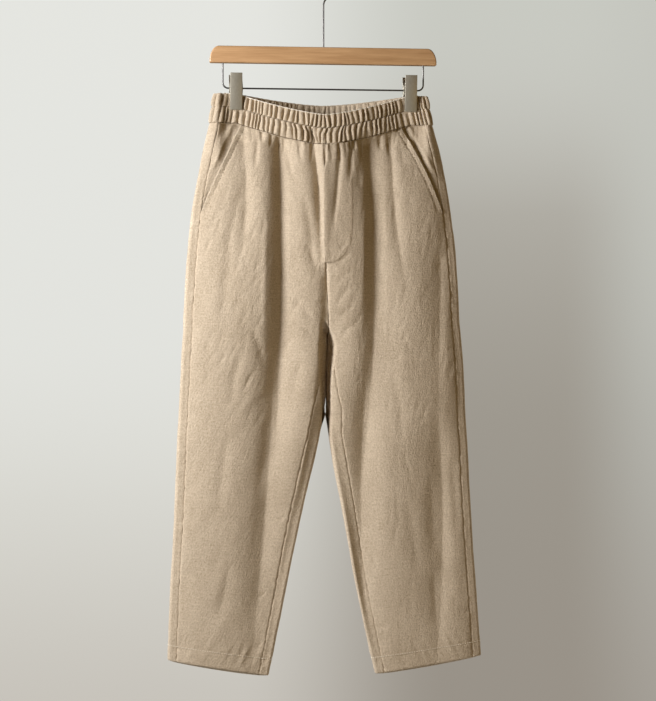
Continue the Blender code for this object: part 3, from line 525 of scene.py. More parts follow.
def columns(side, levels, start, end, count):
    """(turns, distance from the first edge, distance from the last) on a grid of columns."""
    turns, run = runs(side, levels, start, end)
    whole = run[:, -1:]
    edge = np.array(EDGE_STEPS)
    edge = edge * np.minimum(1, whole / (6 * edge[-1]))
    middle = np.linspace(0, 1, count - 2 * len(EDGE_STEPS) + 2)[1:-1]
    inner = edge[:, -1:] + (whole - 2 * edge[:, -1:]) * middle
    along = np.concatenate([edge, inner, (whole - edge)[:, ::-1]], axis=1)
    return turns_at(along, run, turns), along, whole - along


def ripple(u, v, wide, tall, seed):
    """Uneven soft waves, about -1 to 1, one wave wide by tall millimetres."""
    lattice = np.random.default_rng(seed).uniform(-1, 1, (97, 97))
    a, b = u / wide, v / tall
    i, j = np.floor(a).astype(int), np.floor(b).astype(int)
    s, t = smooth(a - i), smooth(b - j)
    above = lattice[i % 97, j % 97] * (1 - s) + lattice[(i + 1) % 97, j % 97] * s
    below = lattice[i % 97, (j + 1) % 97] * (1 - s) + lattice[(i + 1) % 97, (j + 1) % 97] * s
    return above * (1 - t) + below * t


def puckers(level, off, seed, pitch=7.5, tall=0.8, reach=7.5):
    """The pull of a seam: a groove along it, and small dents that run out from it."""
    wave = ripple(level + 0.35 * off, off * 0.2, pitch / 2, 9, seed)
    groove = SEAM_GROOVE[0] * np.exp(-(off / SEAM_GROOVE[1]) ** 2)
    return tall * wave * np.exp(-off / reach) - groove


def cockle(u, v, seed, lean=0.0):
    """How washed linen dries: fine streaks that lean, faint dents and broad unevenness."""
    across = u * math.cos(lean) - v * math.sin(lean)
    down = u * math.sin(lean) + v * math.cos(lean)
    strong = smooth(0.5 + 0.7 * ripple(across, down, 30, 60, seed + 4))
    fine = 0.22 * ripple(across, down, 3.0, 14, seed)
    small = 0.20 * ripple(across, down, 5.2, 24, seed + 1)
    upper = 0.55 + 0.45 * smooth((v + 760) / 160)
    dents = 0.10 * ripple(u, v, 8, 9, seed + 3)
    broad = 0.5 * ripple(across, down, 22, 60, seed + 2)
    return (fine + small) * (0.4 + 0.6 * strong) * upper + dents + broad


# Depth and half width of the grooves that the sewing pulls into the cloth, and the height and reach
# of the waves beside the hem's row.
SEAM_GROOVE, WAIST_GROOVE, HEM_GROOVE = (0.9, 1.3), (0.8, 2.5), (0.7, 1.6)
HEM_WAVES = (1.2, 14)
TOPSTITCH_GROOVE, TOPSTITCH_IN, TOPSTITCH_STEP = (1.3, 1.5), 8.5, 5.6


def waist_groove(levels):
    """The waist seam's allowance pulls the cloth in under the band."""
    return -WAIST_GROOVE[0] * np.exp(-((levels - BAND_FOOT) / WAIST_GROOVE[1]) ** 2)


def cells(k):
    """The four-cornered cells of a grid whose points have the numbers k."""
    return np.stack([k[:-1, :-1], k[:-1, 1:], k[1:, 1:], k[1:, :-1]], -1).reshape(-1, 4)


def grid(rows, count):
    return cells(np.arange(rows * count).reshape(rows, count))


# Where each kind of piece lies on the endless weave, so that no two show the same threads.
FRONT_MAP, BACK_MAP, FACING_MAP, FLY_MAP, BAND_MAP = 500, 1500, 3000, 5000, 7000


def flat_map(u, v):
    return np.stack([u, v + 0 * u], -1).reshape(-1, 2)


def shell(name, outer, inner, quads, flat):
    """A closed wall between two faces that share their cells, with the cloth's own flat map."""
    count = len(outer)
    edges = np.concatenate([quads[:, [i, (i + 1) % 4]] for i in range(4)]).astype(np.int64)
    there = edges[:, 0] * count + edges[:, 1]
    rim = edges[~np.isin(there, edges[:, 1] * count + edges[:, 0])]
    walls = np.stack([rim[:, 1], rim[:, 0], rim[:, 0] + count, rim[:, 1] + count], 1)
    faces = np.concatenate([quads, quads[:, ::-1] + count, walls])
    points = np.concatenate([outer, inner]) * MM
    a, b, c, d = (points[faces[:, i]] for i in range(4))
    volume = (a * (np.cross(b, c) + np.cross(c, d))).sum()
    if volume < 0:
        faces = faces[:, ::-1]
    mesh = bpy.data.meshes.new(name)
    mesh.from_pydata(points, [], faces.tolist())
    corners = np.empty(len(mesh.loops), np.int32)
    mesh.loops.foreach_get("vertex_index", corners)
    layer = mesh.uv_layers.new(name="cloth")
    layer.data.foreach_set("uv", (np.tile(flat, (2, 1))[corners] * MM).ravel())
    mesh.polygons.foreach_set("use_smooth", np.ones(len(mesh.polygons), bool))
    mesh.update()
    return mesh


def put(name, data):
    piece = bpy.data.objects.new(name, data)
    bpy.context.scene.collection.objects.link(piece)
    return piece


def add(name, mesh, finish):
    mesh.materials.append(finish)
    return put(name, mesh)


def wall_offsets(levels):
    """How far the inside lies behind the outside, and how both round off at the hem's fold."""
    hem = smooth((HEM + HEM_DEEP + 1 - levels) / 2)
    inner = -(CLOTH_WALL + (HEM_WALL - CLOTH_WALL) * hem)
    fold = smooth((HEM + HEM_FOLD - levels) / HEM_FOLD) ** 2
    return -HEM_ROUND * fold, inner + HEM_ROUND * fold


def hem_relief(levels, u, seed):
    """The hem's stitching sinks into the cloth, which swells a little on either side of it."""
    from_row = levels - (HEM + HEM_DEEP)
    groove = -HEM_GROOVE[0] * np.exp(-(from_row / HEM_GROOVE[1]) ** 2)
    waves = HEM_WAVES[0] * ripple(u + 0.3 * from_row, from_row * 0.3, 7.5, 9, seed)
    waves = waves * np.exp(-np.abs(from_row) / HEM_WAVES[1])
    return groove + waves * (1 - 0.8 * np.exp(-(from_row / 2.2) ** 2))


# ---- the cloth's finish ----
LINEN_LIGHT = (0.650, 0.548, 0.415)
LINEN_DARK = (0.410, 0.325, 0.222)
CRUSH_LEAN = math.radians(20)


def link(tree, source, target):
    tree.links.new(source, target)


def math_node(tree, operation, a, b=0.0, c=None):
    made = tree.nodes.new("ShaderNodeMath")
    made.operation = operation
    for i, value in enumerate((a, b) if c is None else (a, b, c)):
        if isinstance(value, (int, float)):
            made.inputs[i].default_value = value
        else:
            link(tree, value, made.inputs[i])
    return made.outputs[0]


def new_finish(name, settings):
    """(material, its tree, its shader), with some of the shader's inputs set."""
    finish = bpy.data.materials.new(name)
    finish.use_nodes = True
    shader = finish.node_tree.nodes["Principled BSDF"]
    for socket, value in settings.items():
        shader.inputs[socket].default_value = value
    return finish, finish.node_tree, shader


def noise_node(tree, place, scale=1.0, detail=2.0, roughness=0.5):
    made = tree.nodes.new("ShaderNodeTexNoise")
    made.inputs["Scale"].default_value = scale
    made.inputs["Detail"].default_value = detail
    made.inputs["Roughness"].default_value = roughness
    link(tree, place, made.inputs["Vector"])
    return made.outputs["Fac"]


def own_place(tree, scale=(1, 1, 1)):
    """Places in the piece's own space, drawn together along each axis by a scale."""
    place = tree.nodes.new("ShaderNodeTexCoord")
    made = tree.nodes.new("ShaderNodeMapping")
    made.inputs["Scale"].default_value = scale
    link(tree, place.outputs["Object"], made.inputs["Vector"])
    return made.outputs[0]


def colour_by(tree, share, shader, dark, light, low=0.0, high=1.0):
    """The shader's colour runs from dark to light as share goes from low to high."""
    made = tree.nodes.new("ShaderNodeValToRGB")
    for stop, at, tone in zip(made.color_ramp.elements, (low, high), (dark, light)):
        stop.position, stop.color = at, (*tone, 1)
    link(tree, share, made.inputs[0])
    link(tree, made.outputs[0], shader.inputs["Base Color"])


def bump_by(tree, height, shader, strength, distance):
    made = tree.nodes.new("ShaderNodeBump")
    made.inputs["Strength"].default_value = strength
    made.inputs["Distance"].default_value = distance
    link(tree, height, made.inputs["Height"])
    link(tree, made.outputs[0], shader.inputs["Normal"])


def linen_group():
    """Weave, slubs and heather from the cloth's flat map: colour share and height."""
    group = bpy.data.node_groups.new("plain weave with slubs", "ShaderNodeTree")
    for name, kind in (("Map", "NodeSocketVector"), ("Shift", "NodeSocketFloat")):
        group.interface.new_socket(name, in_out="INPUT", socket_type=kind)
    for name in ("Shade", "Height"):
        group.interface.new_socket(name, in_out="OUTPUT", socket_type="NodeSocketFloat")
    inside = group.nodes.new("NodeGroupInput")
    outside = group.nodes.new("NodeGroupOutput")
    parts = group.nodes.new("ShaderNodeSeparateXYZ")
    link(group, inside.outputs["Map"], parts.inputs[0])
    u = math_node(group, "ADD", parts.outputs["X"], inside.outputs["Shift"])
    v = parts.outputs["Y"]

    # the crush of washing leans the same way on both legs, though their maps are mirrored
    mirror = math_node(group, "MULTIPLY", math_node(group, "SIGN", u), math.sin(CRUSH_LEAN))
    down = math_node(group, "MULTIPLY", v, math.cos(CRUSH_LEAN))
    down = math_node(group, "MULTIPLY_ADD", u, mirror, down)
    over = math_node(group, "MULTIPLY", v, math_node(group, "MULTIPLY", mirror, -1))
    over = math_node(group, "MULTIPLY_ADD", u, math.cos(CRUSH_LEAN), over)

    def streaks(across, along, detail, seed, a=u, b=v):
        """Noise drawn out along a thread: across and along are its scales a metre."""
        place = group.nodes.new("ShaderNodeCombineXYZ")
        link(group, math_node(group, "MULTIPLY", a, across), place.inputs[0])
        link(group, math_node(group, "MULTIPLY", b, along), place.inputs[1])
        place.inputs[2].default_value = seed
        return noise_node(group, place.outputs[0], 1, detail, 0.6)

    warp = streaks(800, 60, 2, 1)
    weft = streaks(90, 800, 2, 7)
    heather = streaks(330, 330, 2, 13)
    cloudy = streaks(22, 16, 3, 19)
    slub = math_node(group, "POWER", streaks(38, 620, 0, 23), 3.0)
    knit = math_node(group, "MULTIPLY_ADD", weft, 0.6, warp)
    crepe = streaks(380, 85, 3, 31, over, down)
    crush = streaks(620, 300, 2, 37, over, down)
    shade = math_node(group, "MULTIPLY_ADD", knit, 0.6, -0.90)
    shade = math_node(group, "MULTIPLY_ADD", heather, 1.3, shade)
    shade = math_node(group, "MULTIPLY_ADD", crush, 0.8, shade)
    shade = math_node(group, "MULTIPLY_ADD", cloudy, 0.5, shade)
    shade = math_node(group, "MULTIPLY_ADD", slub, 0.4, shade)
    shade = math_node(group, "SUBTRACT", shade, 0.38)
    link(group, shade, outside.inputs["Shade"])
    threads = math_node(
        group, "MULTIPLY",
        math_node(group, "SINE", math_node(group, "MULTIPLY", u, 2 * math.pi / 0.0009)),
        math_node(group, "SINE", math_node(group, "MULTIPLY", v, 2 * math.pi / 0.0009)),
    )
    height = math_node(group, "MULTIPLY", threads, 0.3)
    for part, tall in ((knit, 0.6), (slub, 0.6), (heather, 2.2), (crepe, 2.5), (crush, 2.8)):
        height = math_node(group, "MULTIPLY_ADD", part, tall, height)
    link(group, height, outside.inputs["Height"])
    return group


weave = linen_group()


def linen(name, shift=0.0):
    finish, tree, shader = new_finish(name, {
        "Roughness": 0.9, "Specular IOR Level": 0.15,
        "Sheen Weight": 0.12, "Sheen Roughness": 0.6, "Sheen Tint": (0.9, 0.85, 0.75, 1),
    })
    flat = tree.nodes.new("ShaderNodeUVMap")
    flat.uv_map = "cloth"
    woven = tree.nodes.new("ShaderNodeGroup")
    woven.node_tree = weave
    woven.inputs["Shift"].default_value = shift
    link(tree, flat.outputs[0], woven.inputs["Map"])
    colour_by(tree, woven.outputs["Shade"], shader, LINEN_DARK, LINEN_LIGHT, 0.1, 0.9)
    bump_by(tree, woven.outputs["Height"], shader, 0.6, 0.0005)
    return finish


def front_ends(side, levels):
    """(first turns, last turns): from the centre or inside leg to the slash or side seam."""
    start = np.where(
        levels >= CROTCH, rise_turns(side, np.maximum(levels, CROTCH), FRONT),
        inseam_turns(side, np.minimum(levels, CROTCH)),
    )
    seam = side_turns(side, levels)
    width = SLASH_WIDTH * (levels - SLASH_END) / (BAND_FOOT - SLASH_END)
    turns, run = runs(side, levels, seam, np.full(len(levels), math.pi / 2))
    return start, np.where(levels > SLASH_END, turns_at(width, run, turns), seam)


LEAN = {LEFT: math.radians(24), RIGHT: math.radians(10)}  # the streaks lean to the lower left
UNDER_FLY, FLY_ENDS = 42, -480  # the right front lies smooth under the mock fly
# How far each edge of a middle seam moves in to meet the other, and how wide a strip moves.
SEAM_CLOSES, CLOSES_OVER = 0.14, 0.7


def meet(points, side, from_edge, share):
    """Close the seam at the middle, where two panels' edges are pressed together."""
    points[..., 0] -= side * SEAM_CLOSES * np.exp(-(from_edge / CLOSES_OVER) ** 2) * share


def front_panel(side, seed):
    levels = level_rows()
    start, end = front_ends(side, levels)
    turns, first, last = columns(side, levels, start, end, 112)
    rows = levels[:, None]
    slash = smooth((rows - SLASH_END) / 6) + np.zeros(turns.shape)
    calm = UNDER_FLY * smooth((rows - FLY_ENDS) / 20) if side == RIGHT else 0
    relief = cockle(side * first, rows, seed, LEAN[side]) * smooth((first - calm) / 8) * smooth(last / 8)
    relief = relief + puckers(rows, first, seed + 5)
    relief = relief + puckers(rows, last, seed + 6) * (1 - slash)
    rolled = 0.9 * np.exp(-(last / 5.5) ** 2) - 0.9 * np.exp(-(last / 0.5) ** 2)
    pits = 0.6 + 0.4 * np.sin(2 * math.pi * rows / TOPSTITCH_STEP)
    deep, wide = TOPSTITCH_GROOVE
    topstitch = -deep * pits * np.exp(-((last - TOPSTITCH_IN) / wide) ** 2)
    pull = 1.1 * ripple(rows, last * 0.2, 2.8, 5, seed + 7) * np.exp(-((last - 7) / 5) ** 2)
    relief = relief + slash * (rolled + topstitch + pull)
    relief = relief + hem_relief(rows, first, seed + 8) + waist_groove(rows)
    outside, inside = wall_offsets(rows)
    face, square = hung(side, turns, rows)
    outer = face + square * (relief + outside)[..., None]
    inner = face + square * (relief + inside)[..., None]
    for points in (outer, inner):
        meet(points, side, first, rows >= CROTCH)
    quads = grid(*turns.shape)
    flat = flat_map(first + side * FRONT_MAP, rows)
    return outer.reshape(-1, 3), inner.reshape(-1, 3), quads, flat


def back_panel(side, seed):
    levels = level_rows()
    rows = levels[:, None]
    seam = side_turns(side, levels)
    joined = levels <= SADDLE
    end = np.where(joined, SADDLE_TURN, rise_turns(side, np.maximum(levels, SADDLE), BACK))
    turns, first, last = columns(side, levels, seam, end, 122)
    centre = np.where(joined[:, None], 1e3, last)
    relief = cockle(first, rows, seed, -side * LEAN[side]) * smooth(first / 8)
    relief = relief + puckers(rows, first, seed + 5) + puckers(rows, centre, seed + 6)
    relief = relief + hem_relief(rows, first, seed + 8) + waist_groove(rows)
    outside, inside = wall_offsets(rows)
    face, square = hung(side, turns, rows)
    faces = []
    for off in (outside, inside):
        points = face + square * (relief + off)[..., None]
        meet(points, side, last, rows > SADDLE)
        faces.append([points.reshape(-1, 3)])
    count = turns.size
    quads = [grid(*turns.shape)]
    flats = [flat_map(first + side * BACK_MAP, rows)]
    # the fork: from the crotch to the inside leg seam, joined to the back below the saddle
    fork = np.nonzero(levels < CROTCH)[0]
    low = levels[fork]
    start = np.where(low <= SADDLE, SADDLE_TURN - 2 * math.pi, rise_turns(side, low, FRONT))
    f_turns, f_first, f_last = columns(side, low, start, inseam_turns(side, low), 26)
    f_rows = low[:, None]
    f_joined = (low <= SADDLE)[:, None]
    f_centre = np.where(f_joined, 1e3, f_first)
    run_before = first[fork][:, -1:]
    f_relief = cockle(f_first + run_before, f_rows, seed, -side * LEAN[side])
    f_relief = f_relief * smooth(f_last / 8)
    f_relief = f_relief + puckers(f_rows, f_last, seed + 7) + puckers(f_rows, f_centre, seed + 6)
    f_relief = f_relief + hem_relief(f_rows, f_first + run_before, seed + 8)
    face, square = hung(side, f_turns, f_rows)
    for one, off in zip(faces, wall_offsets(f_rows)):
        points = face + square * (f_relief + off)[..., None]
        meet(points, side, f_first, f_rows > SADDLE)
        one.append(points.reshape(-1, 3))
    k = count + np.arange(f_turns.size).reshape(f_turns.shape)
    last_column = np.arange(count).reshape(turns.shape)[fork, -1]
    k[:, 0] = np.where(low <= SADDLE, last_column, k[:, 0])
    quads.append(cells(k))
    flats.append(flat_map(f_first + (run_before + side * BACK_MAP), f_rows))
    outer, inner = (np.concatenate(one) for one in faces)
    quads, flat = np.concatenate(quads), np.concatenate(flats)
    used, fresh = np.unique(quads, return_inverse=True)
    return outer[used], inner[used], fresh.reshape(quads.shape), flat[used]


leg_linen = linen("leg linen")
FRONT_CUT, BACK_CUT = (0.25, 0.90), (0.34, 0.90)
FRONT_CUT_AREA, BACK_CUT_AREA = 0.155, 0.235
for side, word in ((LEFT, "left"), (RIGHT, "right")):
    for part, make, seed, size, area in (
        ("front", front_panel, 100, FRONT_CUT, FRONT_CUT_AREA),
        ("back", back_panel, 200, BACK_CUT, BACK_CUT_AREA),
    ):
        name = part + "_" + word
        panel = add("leg_" + name, shell("leg_" + name, *make(side, seed + 20 * side)), leg_linen)
        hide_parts(name)
        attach(panel, "root")


# ======== the pocket facings ========
# A strip of the same cloth behind each slanted pocket edge. It is sewn into the side seam and the
# waist seam, and hangs a little slack, so a soft fold forms in it.

FACING_UNDER = 9  # how far it runs under the slash
FACING_DEEP = (4.4, 1.1)  # behind the face of the front at the slash, and at the side seam

for side, word in ((LEFT, "left"), (RIGHT, "right")):
    levels = np.linspace(BAND_FOOT + 1, SLASH_END - 2, 74)
    rows = levels[:, None]
    seam = side_turns(side, levels)
    start, slash = front_ends(side, levels)
    turns, run = runs(side, levels, slash, start)
    under = turns_at(np.full(len(levels), FACING_UNDER), run, turns)
    turns, first, last = columns(side, levels, under, seam + 0.004, 34)
    to_seam = smooth((first - 8) / (first + last - 8))
    back_by = FACING_DEEP[0] + (FACING_DEEP[1] - FACING_DEEP[0]) * to_seam
    slack = 2.2 * np.exp(-((first - FACING_UNDER - 12) / 4.5) ** 2) * smooth((rows + 350) / 70)
    relief = slack - back_by + 0.5 * ripple(first, rows, 7, 18, 41) + puckers(rows, last, 43, 6, 0.3)
    outer = draped(side, turns, rows, relief).reshape(-1, 3)
    inner = draped(side, turns, rows, relief - CLOTH_WALL).reshape(-1, 3)
    flat = flat_map(first + FACING_MAP, rows)
    name = "pocket_facing_" + word
    facing = add(name + "_cloth", shell(name, outer, inner, grid(*turns.shape), flat), leg_linen)
    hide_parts(name)
    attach(facing, "root")


# ======== the mock fly ========
# A flap of the same cloth, folded along its free edge and lapped from the right front over the
# centre seam. The J of stitching holds it down, so only the folded edge stands proud.

FLY_WIDTH, FLY_STRAIGHT, FLY_FOOT = 43, -404, -466
FLY_LAP = (1.5, -3.2)  # x of the folded edge at the waist seam, and lower down
FLY_THICK = (1.5, 0.12)  # at the folded edge, and along the J


def fly_reach(levels):
    """How far the J lies from the centre."""
    drop = np.clip((FLY_STRAIGHT - levels) / (FLY_STRAIGHT - FLY_FOOT), 0, 1)
    return FLY_WIDTH * np.sqrt(1 - drop ** 2.2)


def across_middle(levels, xs):
    """(sides, turns) of points beside the centre line; xs runs along the cloth from it."""
    sides = np.where(xs < 0, LEFT, RIGHT)
    turns = np.empty(xs.shape)
    for side in (LEFT, RIGHT):
        start = rise_turns(side, levels, FRONT)
        t, run = runs(side, levels, start, np.full(len(levels), math.pi / 2 + 0.3))
        turns = np.where(sides == side, turns_at(np.abs(xs), run, t), turns)
    return sides, turns


def on_front(levels, xs, lift):
    """Points of the front beside its centre line."""
    sides, turns = across_middle(levels, xs)
    rows = np.broadcast_to(levels[:, None], xs.shape)
    left, right = (draped(side, turns, rows, lift) for side in (LEFT, RIGHT))
    return np.where((sides == LEFT)[..., None], left, right)


levels = np.concatenate([
    np.linspace(BAND_FOOT + 1, FLY_STRAIGHT, 70), np.linspace(FLY_STRAIGHT, FLY_FOOT + 0.4, 34)[1:],
])
rows = levels[:, None]
lap = FLY_LAP[1] + (FLY_LAP[0] - FLY_LAP[1]) * smooth((levels + 316) / 50)
reach = fly_reach(levels)
share = np.concatenate([[0, 0.006, 0.016, 0.034, 0.06], np.linspace(0.09, 0.985, 30), [0.995, 1]])
xs = lap[:, None] + (reach - lap)[:, None] * share
from_fold = xs - lap[:, None]
thick = FLY_THICK[1] + (FLY_THICK[0] - FLY_THICK[1]) * np.exp(-(from_fold / 26) ** 2)
proud = 0.04 + 1.5 * np.exp(-(from_fold / 16) ** 2) * smooth((levels[:, None] - FLY_FOOT) / 60)
relief = cockle(xs, rows, 61) * smooth((reach[:, None] - xs) / 9) * smooth(from_fold / 6)
from_j = np.maximum(reach[:, None] - xs, 0)
relief = relief + 0.2 * ripple(rows, from_j * 0.2, 3.2, 6, 67) * np.exp(-(from_j - 2) ** 2 / 30)
relief = relief - 0.15 * np.exp(-((from_j - 2) / 1.3) ** 2)
round_off = thick / 2 * np.exp(-(from_fold / 0.45) ** 2)
outer = on_front(levels, xs, proud + relief + thick - round_off)
inner = on_front(levels, xs, proud + relief * 0.3 + round_off)
flat = flat_map(xs + FLY_MAP, rows)
fly_mesh = shell("fly", outer.reshape(-1, 3), inner.reshape(-1, 3), grid(*xs.shape), flat)
fly = add("fly_flap_cloth", fly_mesh, leg_linen)
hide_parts("fly_flap")
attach(fly, "root")


# ======== the waistband: a front and a back with two elastic channels in each ========
# A doubled band of the same cloth, stitched along its middle and its foot into two channels. The
# elastic in them draws the cloth into gathers, which swell between the rows of stitching.

BAND_HIGH = 47
BAND_ROWS = (
    -1.4, -0.9, -0.2, 0.5, 1.1, 1.8, 2.8, 4.2, 6, 8.2, 10.6, 13.2, 15.8, 18.2, 20.4, 22.2, 23.6,
    24.6, 25.3, 26.0, 26.7, 27.5, 28.6, 30, 31.8, 33.8, 36, 38.2, 40.2, 42, 43.5, 44.7, 45.6, 46.3,
    46.8, 47.1,
)
MIDDLE_ROW, LOWEST_ROW, TOP_ROW = 26.0, 0.5, 45.0
GATHER_STEPS = (0, 0.05, 0.12, 0.22, 0.36, 0.5, 0.64, 0.78, 0.88, 0.95)
SWELL, GATHER_DEEP = 1.4, 5.8
INSIDE_BEHIND = 0.9  # behind the face, where the band's inside lies
FLAT_IN_JAWS, JAWS_HALF = 0.8, 13.5  # the clips press the upper channel to this height, this far out
BAND_LIFT = 0.55  # the band's face stands this proud of the panels


def band_turns(face, levels, along):
    """(sides, turns) at shares of the way from the left side seam to the right, row by row."""
    middle = math.pi / 2 if face == FRONT else 3 * math.pi / 2
    turns, run = {}, {}
    for side in (LEFT, RIGHT):
        centre = first_turns(
            side, levels, middle - 0.35 * face, middle + 0.35 * face, lambda out, c: out
        )
        turns[side], run[side] = runs(side, levels, side_turns(side, levels), centre)
    whole = run[LEFT][:, -1:] + run[RIGHT][:, -1:]
    place = SEAM_GAP / 2 + (whole - SEAM_GAP) * along
    on_left = place < run[LEFT][:, -1:]
    found = np.empty(along.shape)
    for r in range(len(levels)):
        left = np.interp(place[r], run[LEFT][r], turns[LEFT][r])
        right = np.interp(whole[r] - place[r], run[RIGHT][r], turns[RIGHT][r])
        found[r] = np.where(on_left[r], left, right)
    return np.where(on_left, LEFT, RIGHT), found, place


def on_band(sides, turns, levels, lift):
    rows = np.broadcast_to(levels[:, None], turns.shape)
    points = []
    for side in (LEFT, RIGHT):
        height = hang(side, turns, rows)
        points.append(cloth(side, turns, height) + outward(side, turns, height) * lift[..., None])
    return np.where((sides == LEFT)[..., None], *points)


def gathered_band(face, gathers, seed):
    """(outer points, inner points, flat map), rows by columns."""
    rng = np.random.default_rng(seed)
    high = np.array(BAND_ROWS)
    levels = BAND_FOOT + high
    bounds = []
    for _ in range(2):
        wide = rng.uniform(0.6, 1.4, gathers)
        bounds.append(np.concatenate([[0], np.cumsum(wide)]) / wide.sum())
    shift = 0.45 / gathers * np.sin(math.pi * np.linspace(0, 1, gathers + 1)) ** 0.2
    shift[[0, -1]] = 0
    bounds[1] = bounds[1] * 0.1 + bounds[0] * 0.9 + shift
    step = np.array(GATHER_STEPS)
    number = np.minimum(np.repeat(np.arange(gathers), len(step)), gathers - 1)
    part = np.tile(step, gathers)
    number, part = np.append(number, gathers - 1), np.append(part, 1.0)
    tiers = [b[number] + (b[number + 1] - b[number]) * part for b in bounds]
    rise = smooth((high - MIDDLE_ROW + 1.6) / 3.2)[:, None]
    along = tiers[0] * (1 - rise) + tiers[1] * rise
    lean = rng.normal(0, 0.42, (2, gathers)) / gathers
    low_share = np.clip((high - LOWEST_ROW) / (MIDDLE_ROW - LOWEST_ROW), 0, 1)[:, None]
    top_share = np.clip((high - MIDDLE_ROW) / (TOP_ROW - MIDDLE_ROW), 0, 1)[:, None]
    inside = np.sin(math.pi * along)  # none at the side seams
    knots = np.arange(gathers) + 0.5
    smooth_lean = [np.interp(number + part, knots, one) for one in lean]
    along = along + inside * smooth_lean[0] * (low_share - 0.5) * (1 - rise)
    along = np.clip(along + inside * smooth_lean[1] * (top_share - 0.5) * rise, 0, 1)
    along = np.maximum.accumulate(along, axis=1)
    sides, turns, place = band_turns(face, levels, along)
    swell = np.where(high[:, None] < MIDDLE_ROW, low_share, top_share)
    swell = np.sin(math.pi * np.clip(swell, 0, 1)) ** 0.45
    swell = np.where(high[:, None] > TOP_ROW - 6, np.maximum(swell, 0.55), swell)
    tall = rng.uniform(0.5, 1.35, (2, gathers))
    tall = tall[0][number] * (1 - rise) + tall[1][number] * rise
    puff = np.abs(np.sin(math.pi * part)) ** 0.8
    gather = GATHER_DEEP * tall * (0.34 + 0.66 * swell) * (puff - 0.75)
    x = on_band(sides, turns, levels, np.zeros(turns.shape))[..., 0]
    jaws = np.exp(-((np.abs(x) - CLIP_AT) / JAWS_HALF) ** 6) * smooth((high[:, None] - 16) / 8)
    soft = 0.25 * ripple(place * 1.6, high[:, None], 3.2, 7, seed + 1)
    rows_in = -0.35 * np.exp(-((high[:, None] - MIDDLE_ROW) / 0.9) ** 2)
    lift = BAND_LIFT + SWELL * swell + gather + soft + rows_in
    if face == FRONT:
        join = np.exp(-(x / 1.1) ** 2) - 0.8 * np.exp(-((x + 2.2) / 1.0) ** 2)
        lift = lift + 1.1 * join * smooth((MIDDLE_ROW - 1 - high[:, None]) / 2)
    lift = lift * (1 - jaws) + FLAT_IN_JAWS * jaws
    rim = smooth((high[:, None] - (BAND_HIGH - 2.2)) / 2.2)
    foot = smooth((1.6 - high[:, None]) / 2.6)
    lift = np.maximum(lift, -2.0)
    outer_lift = lift * (1 - rim ** 2) + (lift * 0.2 + 0.1) * rim ** 2
    outer_lift = outer_lift * (1 - foot) - 1.2 * foot
    behind = -INSIDE_BEHIND - 1.7 * (1 - jaws) * (0.4 + swell) * puff * tall
    behind = behind * (1 - rim ** 2) + (outer_lift - 0.5) * rim ** 2
    behind = behind * (1 - foot) - 1.6 * foot
    outer = on_band(sides, turns, levels, outer_lift)
    inner = on_band(sides, turns, levels, np.minimum(behind, outer_lift - 0.3))
    scallop = 0.5 * (puff - 0.6) * tall * smooth((high[:, None] - TOP_ROW + 4) / 5)
    outer[..., 2] += scallop
    inner[..., 2] += scallop
    return outer, inner, np.stack([place * 1.5 + BAND_MAP * face, high[:, None] + 0 * place], -1)


band_linen = linen("band linen", shift=0.37)
band_faces = {}
for word, face, gathers, seed in (("front", FRONT, 43, 301), ("back", BACK, 45, 302)):
    outer, inner, flat = gathered_band(face, gathers, seed)
    band_faces[face] = outer
    name = "waistband_" + word
    mesh = shell(
        name, outer.reshape(-1, 3), inner.reshape(-1, 3), grid(*outer.shape[:2]), flat.reshape(-1, 2)
    )
    band = add(name + "_cloth", mesh, band_linen)
    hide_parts(name)
    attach(band, "root")


# ======== the sewing ========
# Lockstitch in cotton thread: cream on the hems, the slashes' edges and the tacks, linen-coloured
# on the mock fly. The pale cord on the band's top edge is a painted highlight of its rim. The
# near-black stitches in the sunk rows along the slashes and the waistband are thread darkened
# with painted shade of the needle holes and gathers.

THREAD, STITCH = 0.30, 2.7  # the thread's radius, and from one needle hole to the next


